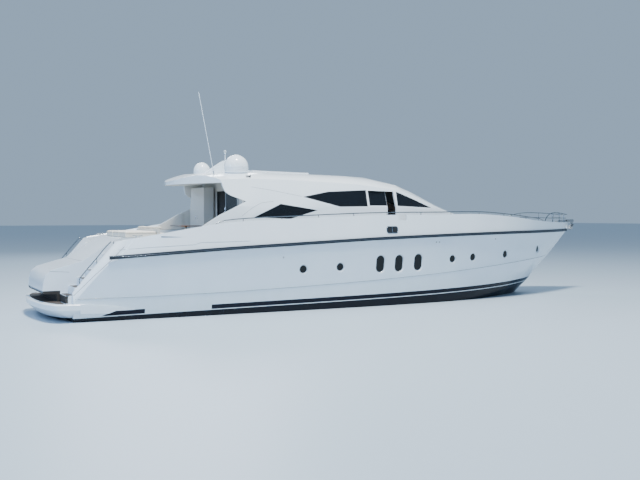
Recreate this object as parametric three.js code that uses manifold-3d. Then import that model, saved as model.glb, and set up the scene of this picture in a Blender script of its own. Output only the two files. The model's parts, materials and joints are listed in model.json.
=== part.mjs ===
// Express motor yacht, 25 m over all: decked hull, hollow deckhouse with a hardtop, stern with a
// tender garage and swim platform, twin screws and rudders, and the fittings on deck.
// Millimetres, +X to the bow, +Y to port, +Z up. The origin is on the centreline, amidships,
// at the waterline.
import * as THREE from 'three';
import { mergeVertices } from 'three/addons/utils/BufferGeometryUtils.js';
import Module from 'manifold-3d';

const wasm = await Module();
wasm.setup();

// Driving dimensions
const GAP = 0.3; // left between pieces that touch
const PLAY = 6; // left round pieces that move
const DECK_Z = 2950; // side decks and foredeck
const SALOON_Z = 2780;
const COCKPIT_Z = 2450;
const WELL_HALF = 2252; // half-width of the saloon floor
const PLATFORM_Z = 620;
const STERN_JOINT_X = -8100; // joints between the mouldings
const COCKPIT_JOINT_X = -5300;
const FOREDECK_JOINT_X = 4600;
const HARDTOP_JOINT_Z = 4560;
const BULWARK_WALL = 90;
const WING_WALL = 120;
const SHELL_WALL = 70; // deckhouse laminate and lining together
const GLASS_OUT = 15; // how far the glass lies inside the outer face
const GLASS_IN = 35;
const WALL_LEAN = 0.35; // how far the deckhouse side leans in for each unit of height

// Half of the hull lines, one row for each station, stern to stem, in mm. Columns:
// keel x, z | chine x, y, z | knuckle x, y, z | rail x, y, z | bulwark top x, y, z | flare
const HULL_LINES = [
  [-11300, -700, -11300, 2500, -120, -11300, 2620, 780, -11300, 2790, 2050, -11300, 2690, 2480, 0],
  [-9000, -800, -9000, 2560, -130, -9000, 2720, 770, -9000, 2920, 2190, -9000, 2820, 2800, 0],
  [-6000, -950, -6000, 2600, -140, -6000, 2750, 810, -6000, 2960, 2360, -6000, 2840, 3270, 0],
  [-3000, -1080, -3000, 2610, -150, -3000, 2770, 900, -3000, 2980, 2500, -3000, 2860, 3420, 0],
  [0, -1170, 0, 2600, -130, 0, 2760, 1020, 0, 2960, 2630, 0, 2850, 3530, 0],
  [3000, -1200, 3000, 2440, -50, 3000, 2650, 1180, 3000, 2850, 2720, 3000, 2760, 3560, 10],
  [5200, -1120, 5200, 2130, 80, 5200, 2440, 1330, 5200, 2680, 2770, 5200, 2620, 3580, 25],
  [7200, -880, 7200, 1600, 300, 7200, 2080, 1480, 7200, 2300, 2800, 7200, 2280, 3470, 45],
  [8600, -420, 8700, 950, 480, 8800, 1560, 1590, 8800, 1810, 2810, 8800, 1850, 3320, 60],
  [9300, 50, 9450, 520, 570, 9850, 1080, 1650, 10200, 1240, 2820, 10200, 1310, 3240, 50],
  [9600, 310, 9850, 210, 620, 10650, 520, 1700, 11500, 590, 2830, 11500, 660, 3200, 25],
  [9710, 410, 10000, 25, 650, 11250, 25, 1720, 12380, 40, 2840, 12500, 50, 3200, 0],
];
const STATIONS_BETWEEN = 3; // rings between two rows of the table

// Half of the deckhouse, one row for each section, in mm. Columns:
// x | half-width at the knee | knee z | roof edge z | crown z
const HOUSE_LINES = [
  [-7350, 2600, 3850, 4700, 4760],
  [-7000, 2560, 3850, 4740, 4910],
  [-6600, 2500, 3850, 4780, 5070],
  [-5400, 2360, 3850, 4840, 5150],
  [-4600, 2290, 3850, 4870, 5220],
  [-3000, 2250, 3850, 4850, 5190],
  [-1600, 2230, 3850, 4800, 5164],
  [-300, 2230, 3850, 4740, 5140],
  [700, 2230, 3850, 4635, 5095],
  [1700, 2230, 3850, 4530, 4905],
  [2400, 2150, 3800, 4300, 4635],
  [3100, 2010, 3750, 4050, 4325],
  [3700, 1870, 3660, 3840, 4060],
  [4300, 1670, 3560, 3680, 3845],
  [4800, 1430, 3450, 3580, 3720],
  [5200, 1180, 3370, 3490, 3625],
  [5550, 880, 3300, 3420, 3540],
  [5800, 560, 3240, 3380, 3480],
  [5930, 250, 3200, 3360, 3445],
];

// Windows and doorways of the deckhouse side, as outlines in x and z
const AFT_WINDOW = [[-4790, 3450], [-3670, 3950], [-2130, 3720], [-3300, 3390]];
const MID_WINDOW = [[-2690, 4220], [-1590, 4430], [110, 4515], [75, 3870], [-1150, 3850]];
const FORE_WINDOW = [[1490, 4470], [1450, 3895], [3260, 3830], [2900, 3960]];
const DOORWAY = [[190, 4500], [1370, 4470], [1370, 2960], [130, 2960]];
const DOOR_SLID_AFT = 400; // the starboard door stands this far open
// Windscreen in plan: x, half-width
const SCREEN = [[2450, 1520], [3100, 1460], [3700, 1370], [4300, 1240], [4800, 1060], [5200, 830],
  [5450, 560]];

// Stern in profile, as outlines in x and z
const FIN_CUT = [[-13000, 560], [-11450, 560], [-11400, 860], [-9830, 2700], [-9500, 2760],
  [-9500, 4000], [-13000, 4000]];
const GARAGE_SKIN = [[-9350, 2750], [-9670, 2650], [-10050, 2440], [-10400, 2190], [-10760, 1960],
  [-11250, 1830], [-11780, 1680], [-11980, 1520], [-12050, 1250], [-12080, 1000]];
const TRANSOM_RECESS = [[-12040, 890], [-11620, 870], [-11580, 600]]; // below the garage door
const BAY_FLOOR_AFT = 940; // height of the bay's floor at the door
const GARAGE_DOOR_WALL = 80;
const GARAGE_HALF = 1350;
const STAIR_IN = 1450; // inner and outer sides of each stair
const STAIR_OUT = 2380;
const STEPS = 7;
const STAIR_FOOT_X = -11500;
const STAIR_HEAD_X = -9800;

// Shafts, screws and rudders
const SCREW_Y = 1150;
const SHAFT_FALL = THREE.MathUtils.degToRad(8);
const SCREW_AT = [-9750, SCREW_Y, -1190];
const RUDDER_X = -10650;

// Colours and finishes
const paint = (color, roughness = 0.25, metalness = 0) =>
  new THREE.MeshStandardMaterial({ color, roughness, metalness });
const GELCOAT = paint(0xe9edf0);
const CREAM = paint(0xe8dfc8, 0.4);
const NAVY_GREY = paint(0x3c4654, 0.4);
const TEAK = paint(0x6b5646, 0.8);
const GLASS = paint(0x10141b, 0.08);
const STEEL = paint(0xc8ccd0, 0.2, 1);
const BRONZE = paint(0x9a7a45, 0.35, 1);
const LEATHER = paint(0xd9cfba, 0.7);
const DARK = paint(0x1d2024, 0.5);

const yacht = new THREE.Group();

// Turns a closed geometry into a solid that can be joined and cut.
function solidOf(geometry) {
  const plain = new THREE.BufferGeometry();
  plain.setAttribute('position', geometry.getAttribute('position').clone());
  if (geometry.index) plain.setIndex(geometry.index.clone());
  const merged = mergeVertices(plain, 1e-3);
  const at = merged.getAttribute('position').array;
  const corners = merged.index.array;
  const kept = [];
  let volume = 0;
  const [a, b, c] = [new THREE.Vector3(), new THREE.Vector3(), new THREE.Vector3()];
  for (let i = 0; i < corners.length; i += 3) {
    const [p, q, r] = [corners[i], corners[i + 1], corners[i + 2]];
    if (p === q || q === r || r === p) continue;
    kept.push([p, q, r]);
    volume += a.fromArray(at, 3 * p).dot(b.fromArray(at, 3 * q).cross(c.fromArray(at, 3 * r)));
  }
  const triVerts = new Uint32Array(kept.flatMap((t) => (volume < 0 ? [t[0], t[2], t[1]] : t)));
  const vertProperties = new Float32Array(at);
  return new wasm.Manifold(new wasm.Mesh({ numProp: 3, vertProperties, triVerts }));
}

function geometryOf(solid) {
  const mesh = solid.getMesh();
  const geometry = new THREE.BufferGeometry();
  geometry.setAttribute('position', new THREE.Float32BufferAttribute(mesh.vertProperties, 3));
  geometry.setIndex(new THREE.Uint32BufferAttribute(mesh.triVerts, 1));
  return geometry;
}

function add(name, solid, material) {
  const mesh = new THREE.Mesh(geometryOf(solid), material);
  mesh.name = name;
  yacht.add(mesh);
}

function join(...solids) {
  return solids.reduce((whole, solid) => whole.add(solid));
}

function cut(solid, ...tools) {
  return tools.reduce((rest, tool) => rest.subtract(tool), solid);
}

// The same solid on the other side of the centreline.
function mirrored(solid) {
  return solidOf(geometryOf(solid).scale(1, -1, 1));
}

function box(x0, x1, y0, y1, z0, z1) {
  const geometry = new THREE.BoxGeometry(x1 - x0, y1 - y0, z1 - z0);
  return solidOf(geometry.translate((x0 + x1) / 2, (y0 + y1) / 2, (z0 + z1) / 2));
}

// Keeps what lies between two heights or lengths of one axis, and leaves a gap to what is beyond.
function between(solid, axis, low, high) {
  const [from, to] = [[-20000, -20000, -20000], [20000, 20000, 20000]];
  from[axis] = low + GAP / 2;
  to[axis] = high - GAP / 2;
  return solid.intersect(box(from[0], to[0], from[1], to[1], from[2], to[2]));
}

// An outline in two of the axes, extruded along the third from low to high.
function prism(axes, outline, low, high) {
  const shape = new THREE.Shape(outline.map(([u, v]) => new THREE.Vector2(u, v)));
  const geometry = new THREE.ExtrudeGeometry(shape, { depth: high - low, bevelEnabled: false });
  const at = geometry.getAttribute('position');
  const order = { xy: [0, 1, 2], xz: [0, 2, 1], yz: [2, 0, 1] }[axes];
  for (let i = 0; i < at.count; i += 1) {
    const local = [at.getX(i), at.getY(i), at.getZ(i) + low];
    at.setXYZ(i, local[order[0]], local[order[1]], local[order[2]]);
  }
  return solidOf(geometry);
}

// A solid through closed rings of points [x, y, z], with flat ends.
function loft(rings) {
  const count = rings[0].length;
  const index = [];
  for (let r = 0; r + 1 < rings.length; r += 1) {
    for (let i = 0; i < count; i += 1) {
      const j = (i + 1) % count;
      const [a, b, c, d] = [r * count + i, r * count + j, (r + 1) * count + j, (r + 1) * count + i];
      // The two sides are split along mirrored diagonals, so that port and starboard are alike.
      if (i < (count - 1) / 2) index.push(a, b, c, a, c, d);
      else index.push(a, b, d, b, c, d);
    }
  }
  const capEnd = (ring, first, forward) => {
    const contour = ring.map(([, y, z]) => new THREE.Vector2(y, z));
    const turn = Math.sign(THREE.ShapeUtils.area(contour)) * (forward ? 1 : -1);
    for (const [a, b, c] of THREE.ShapeUtils.triangulateShape(contour, [])) {
      const way = Math.sign(THREE.ShapeUtils.area([contour[a], contour[b], contour[c]]));
      const order = way === turn ? [a, b, c] : [a, c, b];
      index.push(...order.map((k) => first + k));
    }
  };
  capEnd(rings[0], 0, false);
  capEnd(rings[rings.length - 1], (rings.length - 1) * count, true);
  const geometry = new THREE.BufferGeometry();
  geometry.setAttribute('position', new THREE.Float32BufferAttribute(rings.flat(2), 3));
  geometry.setIndex(index);
  return solidOf(geometry);
}

// A ring from one half of it, given from the starboard end round to the centreline.
function bothSides(half) {
  const other = half.filter(([, y]) => y > 0).reverse();
  return [...half.map(([x, y, z]) => [x, -y, z]), ...other];
}

function tube(points, radius, { sides = 8, smooth = true, closed = false, steps } = {}) {
  const stops = points.map((p) => new THREE.Vector3(...p));
  let path;
  if (smooth && stops.length > 2) {
    path = new THREE.CatmullRomCurve3(stops, closed, 'centripetal');
  } else {
    path = new THREE.CurvePath();
    stops.slice(1).forEach((stop, i) => path.add(new THREE.LineCurve3(stops[i], stop)));
  }
  const ring = Array.from({ length: sides }, (_, i) => {
    const turn = (i / sides) * 2 * Math.PI;
    return new THREE.Vector2(radius * Math.cos(turn), radius * Math.sin(turn));
  });
  const count = steps ?? (stops.length > 2 ? (stops.length - 1) * 4 : 1);
  return solidOf(new THREE.ExtrudeGeometry(new THREE.Shape(ring), { steps: count, extrudePath: path }));
}

// A turned piece: profile of [radius, height] up the vertical axis at a place.
function turned(profile, [x, y, z], segments = 16) {
  const points = profile.map(([r, h]) => new THREE.Vector2(r, h));
  return solidOf(new THREE.LatheGeometry(points, segments).rotateX(Math.PI / 2).translate(x, y, z));
}

// The lines of the hull as smooth curves through the table's places.
function lineThrough(placeOf) {
  const places = HULL_LINES.map((row) => new THREE.Vector3(...placeOf(row)));
  return new THREE.CatmullRomCurve3(places, false, 'catmullrom', 0.4);
}
const KEEL = lineThrough((row) => [row[0], 0, row[1]]);
const CHINE = lineThrough((row) => row.slice(2, 5));
const KNUCKLE = lineThrough((row) => row.slice(5, 8));
const RAIL = lineThrough((row) => row.slice(8, 11));
const BULWARK = lineThrough((row) => row.slice(11, 14));
const FLARE = lineThrough((row) => [row[14], 0, 0]);
const RING_COUNT = (HULL_LINES.length - 1) * (STATIONS_BETWEEN + 1) + 1;
const ALONG = Array.from({ length: RING_COUNT }, (_, i) => i / (RING_COUNT - 1));

function hullBody(grow = 0) {
  const rings = ALONG.map((t) => {
    const lines = [KEEL, CHINE, KNUCKLE, RAIL];
    const [keel, chine, knuckle, rail] = lines.map((line) => line.getPoint(t));
    const flare = Math.max(0, FLARE.getPoint(t).x);
    const middle = knuckle.clone().lerp(rail, 0.5);
    middle.y = Math.max(20, middle.y - flare);
    return bothSides([
      [rail.x, rail.y + grow, rail.z + grow],
      [middle.x, middle.y + grow, middle.z],
      [knuckle.x, knuckle.y + grow, knuckle.z],
      [chine.x, chine.y + grow, chine.z],
      [keel.x, 0, keel.z - grow],
    ]);
  });
  return loft(rings);
}

function deckBody(grow = 0) {
  const rings = ALONG.map((t) => {
    const [rail, top] = [RAIL, BULWARK].map((line) => line.getPoint(t));
    const deckZ = Math.min(DECK_Z, top.z - 25);
    const inner = Math.max(8, top.y - BULWARK_WALL);
    return bothSides([
      [rail.x, rail.y + grow, rail.z + GAP],
      [top.x, top.y + grow, top.z + grow],
      [top.x, inner, top.z + grow],
      [top.x, Math.max(6, inner - 20), deckZ + grow],
      [top.x, 0, deckZ + grow],
    ]);
  });
  return loft(rings);
}

// The row of the deckhouse table at any x, read between its neighbours.
function houseRow(x) {
  const after = HOUSE_LINES.findIndex((row, i) => i > 0 && row[0] >= x);
  const [low, high] = [HOUSE_LINES[after - 1], HOUSE_LINES[after]];
  const share = (x - low[0]) / (high[0] - low[0]);
  return low.map((value, column) => value + (high[column] - value) * share);
}

// One section of the deckhouse, laid in by an amount all round.
function houseSection([x, wall, knee, edge, crown], inset, bottom) {
  const edgeY = wall - WALL_LEAN * (edge - knee);
  const rise = crown - edge;
  const lay = (y, z) => [x, Math.max(1, y - inset), z - inset * 0.9];
  return bothSides([
    [x, Math.max(2, wall + 80 - inset), bottom],
    [x, Math.max(2, wall - inset), knee],
    [x, Math.max(2, edgeY - inset * 1.05), edge - inset * 0.6],
    lay(0.82 * edgeY, edge + 0.55 * rise),
    lay(0.42 * edgeY, edge + 0.91 * rise),
    [x, 0, crown - inset],
  ]);
}

function houseBody(inset, bottom, from = -7350, to = 5930) {
  const inside = HOUSE_LINES.filter((row) => row[0] > from + 1 && row[0] < to - 1);
  const rows = [houseRow(from), ...inside, houseRow(to)];
  return loft(rows.map((row) => houseSection(row, inset, bottom)));
}

// Outline moved towards its own middle, for glass that sits in an opening.
function shrunk(outline, by) {
  const middle = [0, 1].map((k) => outline.reduce((sum, p) => sum + p[k], 0) / outline.length);
  return outline.map((p) => {
    const away = [p[0] - middle[0], p[1] - middle[1]];
    const share = 1 - (by * 1.6) / Math.hypot(...away);
    return [middle[0] + away[0] * share, middle[1] + away[1] * share];
  });
}

const screenOutline = [...SCREEN.map(([x, y]) => [x, -y]), ...[...SCREEN].reverse()];

// Stern: wells for the stairs, the tender bay behind its door, and the sloping ends of the sides
function stairCutter() {
  const rise = (COCKPIT_Z - PLATFORM_Z) / STEPS;
  const tread = (STAIR_HEAD_X - STAIR_FOOT_X) / (STEPS - 1);
  const outline = [[-13000, PLATFORM_Z - 60]];
  outline.push([STAIR_FOOT_X, PLATFORM_Z - 60]);
  for (let step = 1; step < STEPS; step += 1) {
    const x = STAIR_FOOT_X + tread * (step - 1);
    outline.push([x, PLATFORM_Z + rise * step], [x + tread, PLATFORM_Z + rise * step]);
  }
  outline.push([STAIR_HEAD_X, COCKPIT_Z], [-8000, COCKPIT_Z], [-8000, 4200], [-13000, 4200]);
  return prism('xz', outline, STAIR_IN, STAIR_OUT);
}

const stairs = stairCutter();
const bothStairs = join(stairs, mirrored(stairs));
const finEnd = prism('xz', FIN_CUT, STAIR_OUT - 1, 4000);
// The outer corner of each sloping end is well rounded. Columns: x, z on the slope | side y
const CORNER_RADIUS = 360;
const CORNER_LINE = [[-11700, 508, 2600], [-11400, 860, 2650], [-10980, 1352, 2740], [-10444, 1980, 2845],
  [-9830, 2700, 2790], [-9500, 3087, 2790]];
const cornerCutter = loft(CORNER_LINE.map(([x, z, side]) => {
  const slope = new THREE.Vector2(1570, 1840).normalize();
  const place = (out, y) => [x - out * slope.y, y, z + out * slope.x];
  const arc = [0, 15, 30, 45, 60, 75, 90].map((deg) => {
    const turn = THREE.MathUtils.degToRad(deg);
    return place(CORNER_RADIUS * (Math.cos(turn) - 1), side - CORNER_RADIUS * (1 - Math.sin(turn)));
  });
  return [...arc, place(-CORNER_RADIUS, side + 400), place(400, side + 400), place(400, side - CORNER_RADIUS)];
}));
const finEnds = join(finEnd, mirrored(finEnd), cornerCutter, mirrored(cornerCutter));
const humpTop = prism('xz',
  [...GARAGE_SKIN, ...TRANSOM_RECESS, [-13000, 600], [-13000, 4200], [-9350, 4200]], -STAIR_IN, STAIR_IN);
const bayOutline = [[-9344, 2755], [-9294, 2681], [-9294, 2600], [-9200, 2300], [-8200, 2300],
  [-8200, 760], [-11300, 760], [-11420, BAY_FLOOR_AFT], [-13000, BAY_FLOOR_AFT], [-13000, 4200],
  [-9344, 4200]];
const bay = prism('xz', bayOutline, -GARAGE_HALF - PLAY, GARAGE_HALF + PLAY);
const sternCutters = [bothStairs, finEnds, humpTop, bay];

// Hull
const wellHalf = [[-5300, WELL_HALF], [1700, WELL_HALF], [2400, 2160], [3700, 1860], [4300, 1660]];
const wellOutline = [...wellHalf, ...[...wellHalf].reverse().map(([x, y]) => [x, -y])];
const saloonWell = prism('xy', wellOutline, SALOON_Z, 4000);
const cockpitWell = box(STERN_JOINT_X, COCKPIT_JOINT_X + 1, -2200, 2200, COCKPIT_Z, 4500);
const TEAK_PROUD = 12; // height of the teak on the swim platform above the rim round it
const transomBlock = box(-12100, -11200, 2 - STAIR_OUT, STAIR_OUT - 2,
  PLATFORM_Z - TEAK_PROUD + GAP, 1850);
const garageTop = { x0: -9600, x1: STERN_JOINT_X, z: 2750 };
const garageTopBlock = box(garageTop.x0, garageTop.x1, -STAIR_IN, STAIR_IN, 2400, garageTop.z);
const overGarage = box(garageTop.x0, garageTop.x1, -STAIR_IN - 1, STAIR_IN + 1, garageTop.z, 4200);
const rudderBoss = turned([[0, -560], [80, -560], [80, -300], [0, -300]], [RUDDER_X, SCREW_Y, 0]);
const hull = cut(join(hullBody(), transomBlock, rudderBoss, mirrored(rudderBoss)), ...sternCutters);
add('hull', between(hull, 0, STERN_JOINT_X, 13000), GELCOAT);
add('hull_stern', between(hull, 0, -13000, STERN_JOINT_X), GELCOAT);

// Deck moulding with its bulwarks, and the coachroof ahead of the windscreen
const COACHROOF = [[4600, 1750], [6000, 1600], [8000, 1200], [9300, 800]]; // x, half-width
const coachroofZ = (x) => 3430 - (x - 4600) * 0.0617;
const coachroof = loft(COACHROOF.map(([x, half]) => bothSides([
  [x, half, DECK_Z - 20],
  [x, half - 60, coachroofZ(x) - 40],
  [x, half - 110, coachroofZ(x)],
])));
const HATCH = { x0: 8350, x1: 8950, half: 300 };
const hatchWell = box(HATCH.x0 + 40, HATCH.x1 - 40, 40 - HATCH.half, HATCH.half - 40, 2900, 3600);
const gateNotch = box(1080, 1500, -3100, -2500, 3330, 4000);
const deck = cut(
  join(cut(deckBody(), overGarage), garageTopBlock, coachroof),
  ...sternCutters, cockpitWell, saloonWell, hatchWell, gateNotch, mirrored(gateNotch),
  houseBody(-GAP, DECK_Z, 4300),
);
add('cockpit_moulding', between(deck, 0, -13000, COCKPIT_JOINT_X), GELCOAT);
add('deck_moulding', between(deck, 0, COCKPIT_JOINT_X, FOREDECK_JOINT_X), GELCOAT);
add('foredeck_moulding', between(deck, 0, FOREDECK_JOINT_X, 13000), GELCOAT);

// Rub rails at the joint of hull and deck
function rubRail() {
  const rings = ALONG.slice(2).map((t) => {
    const rail = RAIL.getPoint(t);
    const [inner, outer] = [Math.max(4, rail.y - 40), rail.y + 55];
    return [
      [rail.x, inner, rail.z - 45], [rail.x, outer - 12, rail.z - 60], [rail.x, outer, rail.z],
      [rail.x, outer - 12, rail.z + 60], [rail.x, inner, rail.z + 45],
    ];
  });
  return cut(loft(rings), hullBody(GAP), deckBody(GAP),
    box(-13000, -10200, -4000, 4000, 0, 4000), box(12330, 13000, -4000, 4000, 0, 4000));
}
const railPort = rubRail();
add('rub_rail_port', railPort, NAVY_GREY);
add('rub_rail_starboard', mirrored(railPort), NAVY_GREY);

// Swim platform with the fairings that run forward along the hull
const platformOutline = (inset) => [[-11000, 2700 - inset], [-11700, 2680 - inset], [-11900, 2520 - inset],
  [-12080, 2000 - inset], [-12200, 1200], [-12260, 400]].map(([x, y]) => [x + inset, y]);
const platformRing = (inset, z) => {
  const half = platformOutline(inset);
  return [...half.map(([x, y]) => [x, y, z]), ...[...half].reverse().map(([x, y]) => [x, -y, z])];
};
function stackedLoft(rings) {
  // Rings lie flat here, so they are turned on end for the loft and back again.
  const onEnd = rings.map((ring) => ring.map(([x, y, z]) => [z, y, -x]));
  return solidOf(geometryOf(loft(onEnd)).rotateY(-Math.PI / 2));
}
const fairing = loft([
  [[-11100, 2300, 130], [-11100, 2700, 300], [-11100, 2700, 608], [-11100, 2300, 608]],
  [[-10000, 2400, 150], [-10000, 2680, 260], [-10000, 2690, 500], [-10000, 2400, 520]],
  [[-8800, 2500, 170], [-8800, 2600, 200], [-8800, 2605, 240], [-8800, 2500, 260]],
]);
// The raised part that carries the teak runs in below the door and to the foot of each stair.
const TEAK_RIM = 110;
const teakFoot = STAIR_FOOT_X - 20;
const teakHalf = [
  ...platformOutline(TEAK_RIM).slice(1).reverse(), [-11590, STAIR_OUT - 10], [teakFoot, STAIR_OUT - 10],
  [teakFoot, STAIR_IN + 10], [-11600, STAIR_IN + 10],
];
const teakOutline = [...teakHalf, ...[...teakHalf].reverse().map(([x, y]) => [x, -y])];
const rimZ = PLATFORM_Z - TEAK_PROUD;
const platform = cut(
  join(
    stackedLoft([platformRing(330, 130), platformRing(0, 420), platformRing(0, 580), platformRing(25, rimZ)]),
    prism('xy', teakOutline, rimZ - 40, PLATFORM_Z),
    fairing, mirrored(fairing),
  ),
  hullBody(GAP),
);
add('swim_platform', platform, GELCOAT);

// Garage door: hinged along its upper edge, where the sunpad begins
const doorOver = GARAGE_SKIN.map(([x, z]) => [x - 1, z]);
const doorUnder = GARAGE_SKIN.map(([x, z]) =>
  [x + GARAGE_DOOR_WALL * 0.6, Math.max(BAY_FLOOR_AFT + PLAY + 4, z - GARAGE_DOOR_WALL * 0.8)]);
const HINGE_AT = [-9360, 2741];
const pinAlongY = (radius, x, z, y0, y1) => solidOf(
  new THREE.CylinderGeometry(radius, radius, y1 - y0, 12).translate(x, (y0 + y1) / 2, z));
const pinEnd = GARAGE_HALF + PLAY - GAP;
add('garage_door', join(
  prism('xz', [...doorOver, ...doorUnder.reverse()], -GARAGE_HALF, GARAGE_HALF),
  pinAlongY(8, ...HINGE_AT, -pinEnd, pinEnd),
), GELCOAT);

// Deckhouse and hardtop
const roofEnd = [-2700, -2150, -1700, -1150, -600, 0, 600, 1150, 1700, 2150, 2700]
  .map((y) => [-7330 + 1400 * (y / 2150) ** 2, y]);
const aftOverhang = prism('xy', [...roofEnd, [-9000, 2700], [-9000, -2700]], 4600, 5600);
const wingCut = prism('xz', [[-7700, 2900], [-7250, 2945], [-6880, 3110], [-6130, 3540], [-5060, 4030],
  [-5680, 4250], [-5850, 4370], [-5920, 4540], [-5950, 4700], [-7700, 4640]], -4000, 4000);
const sideOpening = (outline) => {
  const starboard = prism('xz', outline, -3200, -900);
  return [starboard, mirrored(starboard)];
};
const SUNROOF = { x0: -1650, x1: 620, half: 600 };
const house = cut(
  houseBody(0, DECK_Z + GAP, -7350, 5930 - GAP),
  houseBody(SHELL_WALL, 2900, -5950, 5800),
  houseBody(WING_WALL, 2900, -7340, -5940).intersect(box(-7400, -5900, -3000, 3000, 2800, 4600)),
  wingCut, aftOverhang,
  ...[AFT_WINDOW, MID_WINDOW, FORE_WINDOW, DOORWAY].flatMap(sideOpening),
  prism('xy', screenOutline, 3300, 5600),
  box(SUNROOF.x0, SUNROOF.x1, -SUNROOF.half, SUNROOF.half, 4900, 5600),
);
add('deckhouse', between(house, 2, 0, HARDTOP_JOINT_Z), GELCOAT);
add('hardtop', between(house, 2, HARDTOP_JOINT_Z, 9000), GELCOAT);

// Fixed glass
const glassSkin = cut(houseBody(GLASS_OUT, 2900, -6000, 5900), houseBody(GLASS_IN, 2800, -6100, 5880));
const sideGlass = { window_aft: AFT_WINDOW, window_middle: MID_WINDOW, window_forward: FORE_WINDOW };
for (const [name, outline] of Object.entries(sideGlass)) {
  const pane = glassSkin.intersect(prism('xz', shrunk(outline, 0.4), -3200, -900));
  add(`${name}_starboard`, pane, GLASS);
  add(`${name}_port`, mirrored(pane), GLASS);
}
add('windscreen', glassSkin.intersect(prism('xy', shrunk(screenOutline, 0.4), 3310, 5600)), GLASS);

// Sliding side doors, inside the deckhouse wall
const DOOR_WALL = 42;
const DOOR_CLEAR = 26;
function sideDoor() {
  const [, wall, knee] = houseRow(0);
  const face = (z) => wall + (z < knee ? (80 * (knee - z)) / 900 : -WALL_LEAN * (z - knee));
  const outer = [2800, knee, 4535].map((z) => [face(z) - SHELL_WALL - DOOR_CLEAR, z]);
  const section = [...outer, ...[...outer].reverse().map(([y, z]) => [y - DOOR_WALL, z])];
  const leaf = prism('yz', section, 60, 1640)
    .intersect(prism('xz', [[70, 2799], [70, 4535], [900, 4535], [1430, 4505], [1430, 2799]], 0, 3000));
  const footY = face(2800) - SHELL_WALL - DOOR_CLEAR - DOOR_WALL / 2;
  const foot = (x) => box(x, x + 80, footY - 12, footY + 12, SALOON_Z + GAP, 2830);
  return join(leaf, foot(200), foot(1300));
}
const doorLeaf = sideDoor();
add('side_door_port', doorLeaf, GELCOAT);
add('side_door_starboard', mirrored(doorLeaf).translate([-DOOR_SLID_AFT, 0, 0]), GELCOAT);

// Aft bulkhead with the saloon door, and the cabinet beside it
const inner = houseBody(SHELL_WALL + GAP, 2500, -5900, 0);
const bulkheadBlank = box(-5200, -5130, -2700, 2700, SALOON_Z + GAP, 5200).intersect(inner);
const besideWell = box(-5300, -5000, WELL_HALF - GAP, 3000, 2500, DECK_Z + GAP);
const bulkhead = cut(bulkheadBlank, besideWell, mirrored(besideWell),
  box(-5300, -5000, -1850, -750, 2830, 4450), box(-5300, -5000, -660, 380, 2860, 4450));
add('aft_bulkhead', bulkhead, CREAM);
add('saloon_window', box(-5180, -5150, -659.6, 379.6, 2860.4, 4449.6), GLASS);
add('saloon_door', join(
  box(-5262, -5206, -1900, -700, 2790, 4480),
  box(-5250, -5218, -1850, -1750, SALOON_Z + GAP, 2800),
  box(-5250, -5218, -850, -750, SALOON_Z + GAP, 2800),
), GLASS);
const cabinetEnd = [[450, COCKPIT_Z + GAP], [2040, COCKPIT_Z + GAP], [2040, 3800], [1880, 4600], [450, 4600]];
add('cockpit_cabinet', prism('yz', cabinetEnd, -5700, -5300 - GAP), CREAM);

// Sunroof panel, slid aft over the roof
const SUNROOF_SLID = 2430;
const roofFall = 0.0186;
const sunroofRing = (x) => {
  const z = 5220 - (x + 4600) * roofFall;
  const slope = 0.0385;
  return bothSides([
    [x, 700, z - 700 * slope + PLAY], [x, 700, z - 700 * slope + 45],
    [x, 640, z + 60 - 640 * slope], [x, 0, z + 66],
  ]);
};
const sunroofEnds = [SUNROOF.x0 - SUNROOF_SLID - 60, SUNROOF.x1 - SUNROOF_SLID + 60];
const shoe = (x) => box(x, x + 80, 600, 640, 5100, 5205);
const shoes = [shoe(sunroofEnds[0] + 10), shoe(sunroofEnds[1] - 90)];
const sunroofPanel = join(loft(sunroofEnds.map(sunroofRing)), ...shoes, ...shoes.map(mirrored));
add('sunroof', cut(sunroofPanel, houseBody(-GAP, DECK_Z)), GELCOAT);

// Helm, seats and table inside
const WHEEL_AT = [2080, -700, 3560];
const WHEEL_TILT = THREE.MathUtils.degToRad(62);
const COLUMN_END = 210;
const onColumn = (geometry) => solidOf(geometry.rotateZ(WHEEL_TILT).translate(...WHEEL_AT));
const wheelBoss = onColumn(
  new THREE.CylinderGeometry(45, 45, 200, 12).translate(0, -COLUMN_END - GAP - 100, 0));
const consoleSide = [[2300, SALOON_Z + GAP], [4150, SALOON_Z + GAP], [4150, 3500], [3300, 3700],
  [2650, 3760], [2350, 3560]];
add('helm_console', join(prism('xz', consoleSide, -1150, 1150), wheelBoss), DARK);
function steeringWheel() {
  const rim = new THREE.LatheGeometry(Array.from({ length: 9 }, (_, i) => {
    const turn = (i / 8) * 2 * Math.PI;
    return new THREE.Vector2(190 + 16 * Math.cos(turn), 16 * Math.sin(turn));
  }), 24);
  let wheel = solidOf(rim);
  const hub = new THREE.CylinderGeometry(45, 45, 40, 12);
  wheel = wheel.add(solidOf(hub));
  for (let spoke = 0; spoke < 3; spoke += 1) {
    const turn = (spoke * 2 * Math.PI) / 3 + Math.PI / 6;
    wheel = wheel.add(solidOf(new THREE.BoxGeometry(185, 14, 34).translate(100, 0, 0).rotateY(turn)));
  }
  const column = new THREE.CylinderGeometry(26, 26, COLUMN_END, 12);
  column.translate(0, -COLUMN_END / 2, 0);
  return onColumn(geometryOf(wheel.add(solidOf(column))));
}
add('steering_wheel', steeringWheel(), DARK);
const seat = (x, y0, y1, floor, depth, height, back) => join(
  box(x, x + depth, y0, y1, floor + GAP, floor + height),
  prism('xz', [[x - 120, floor + height - 150], [x + 60, floor + height - 150], [x + 20, floor + back],
    [x - 90, floor + back]], y0, y1),
);
add('helm_seat', seat(1100, -1250, -150, SALOON_Z, 560, 560, 1150), LEATHER);
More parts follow.
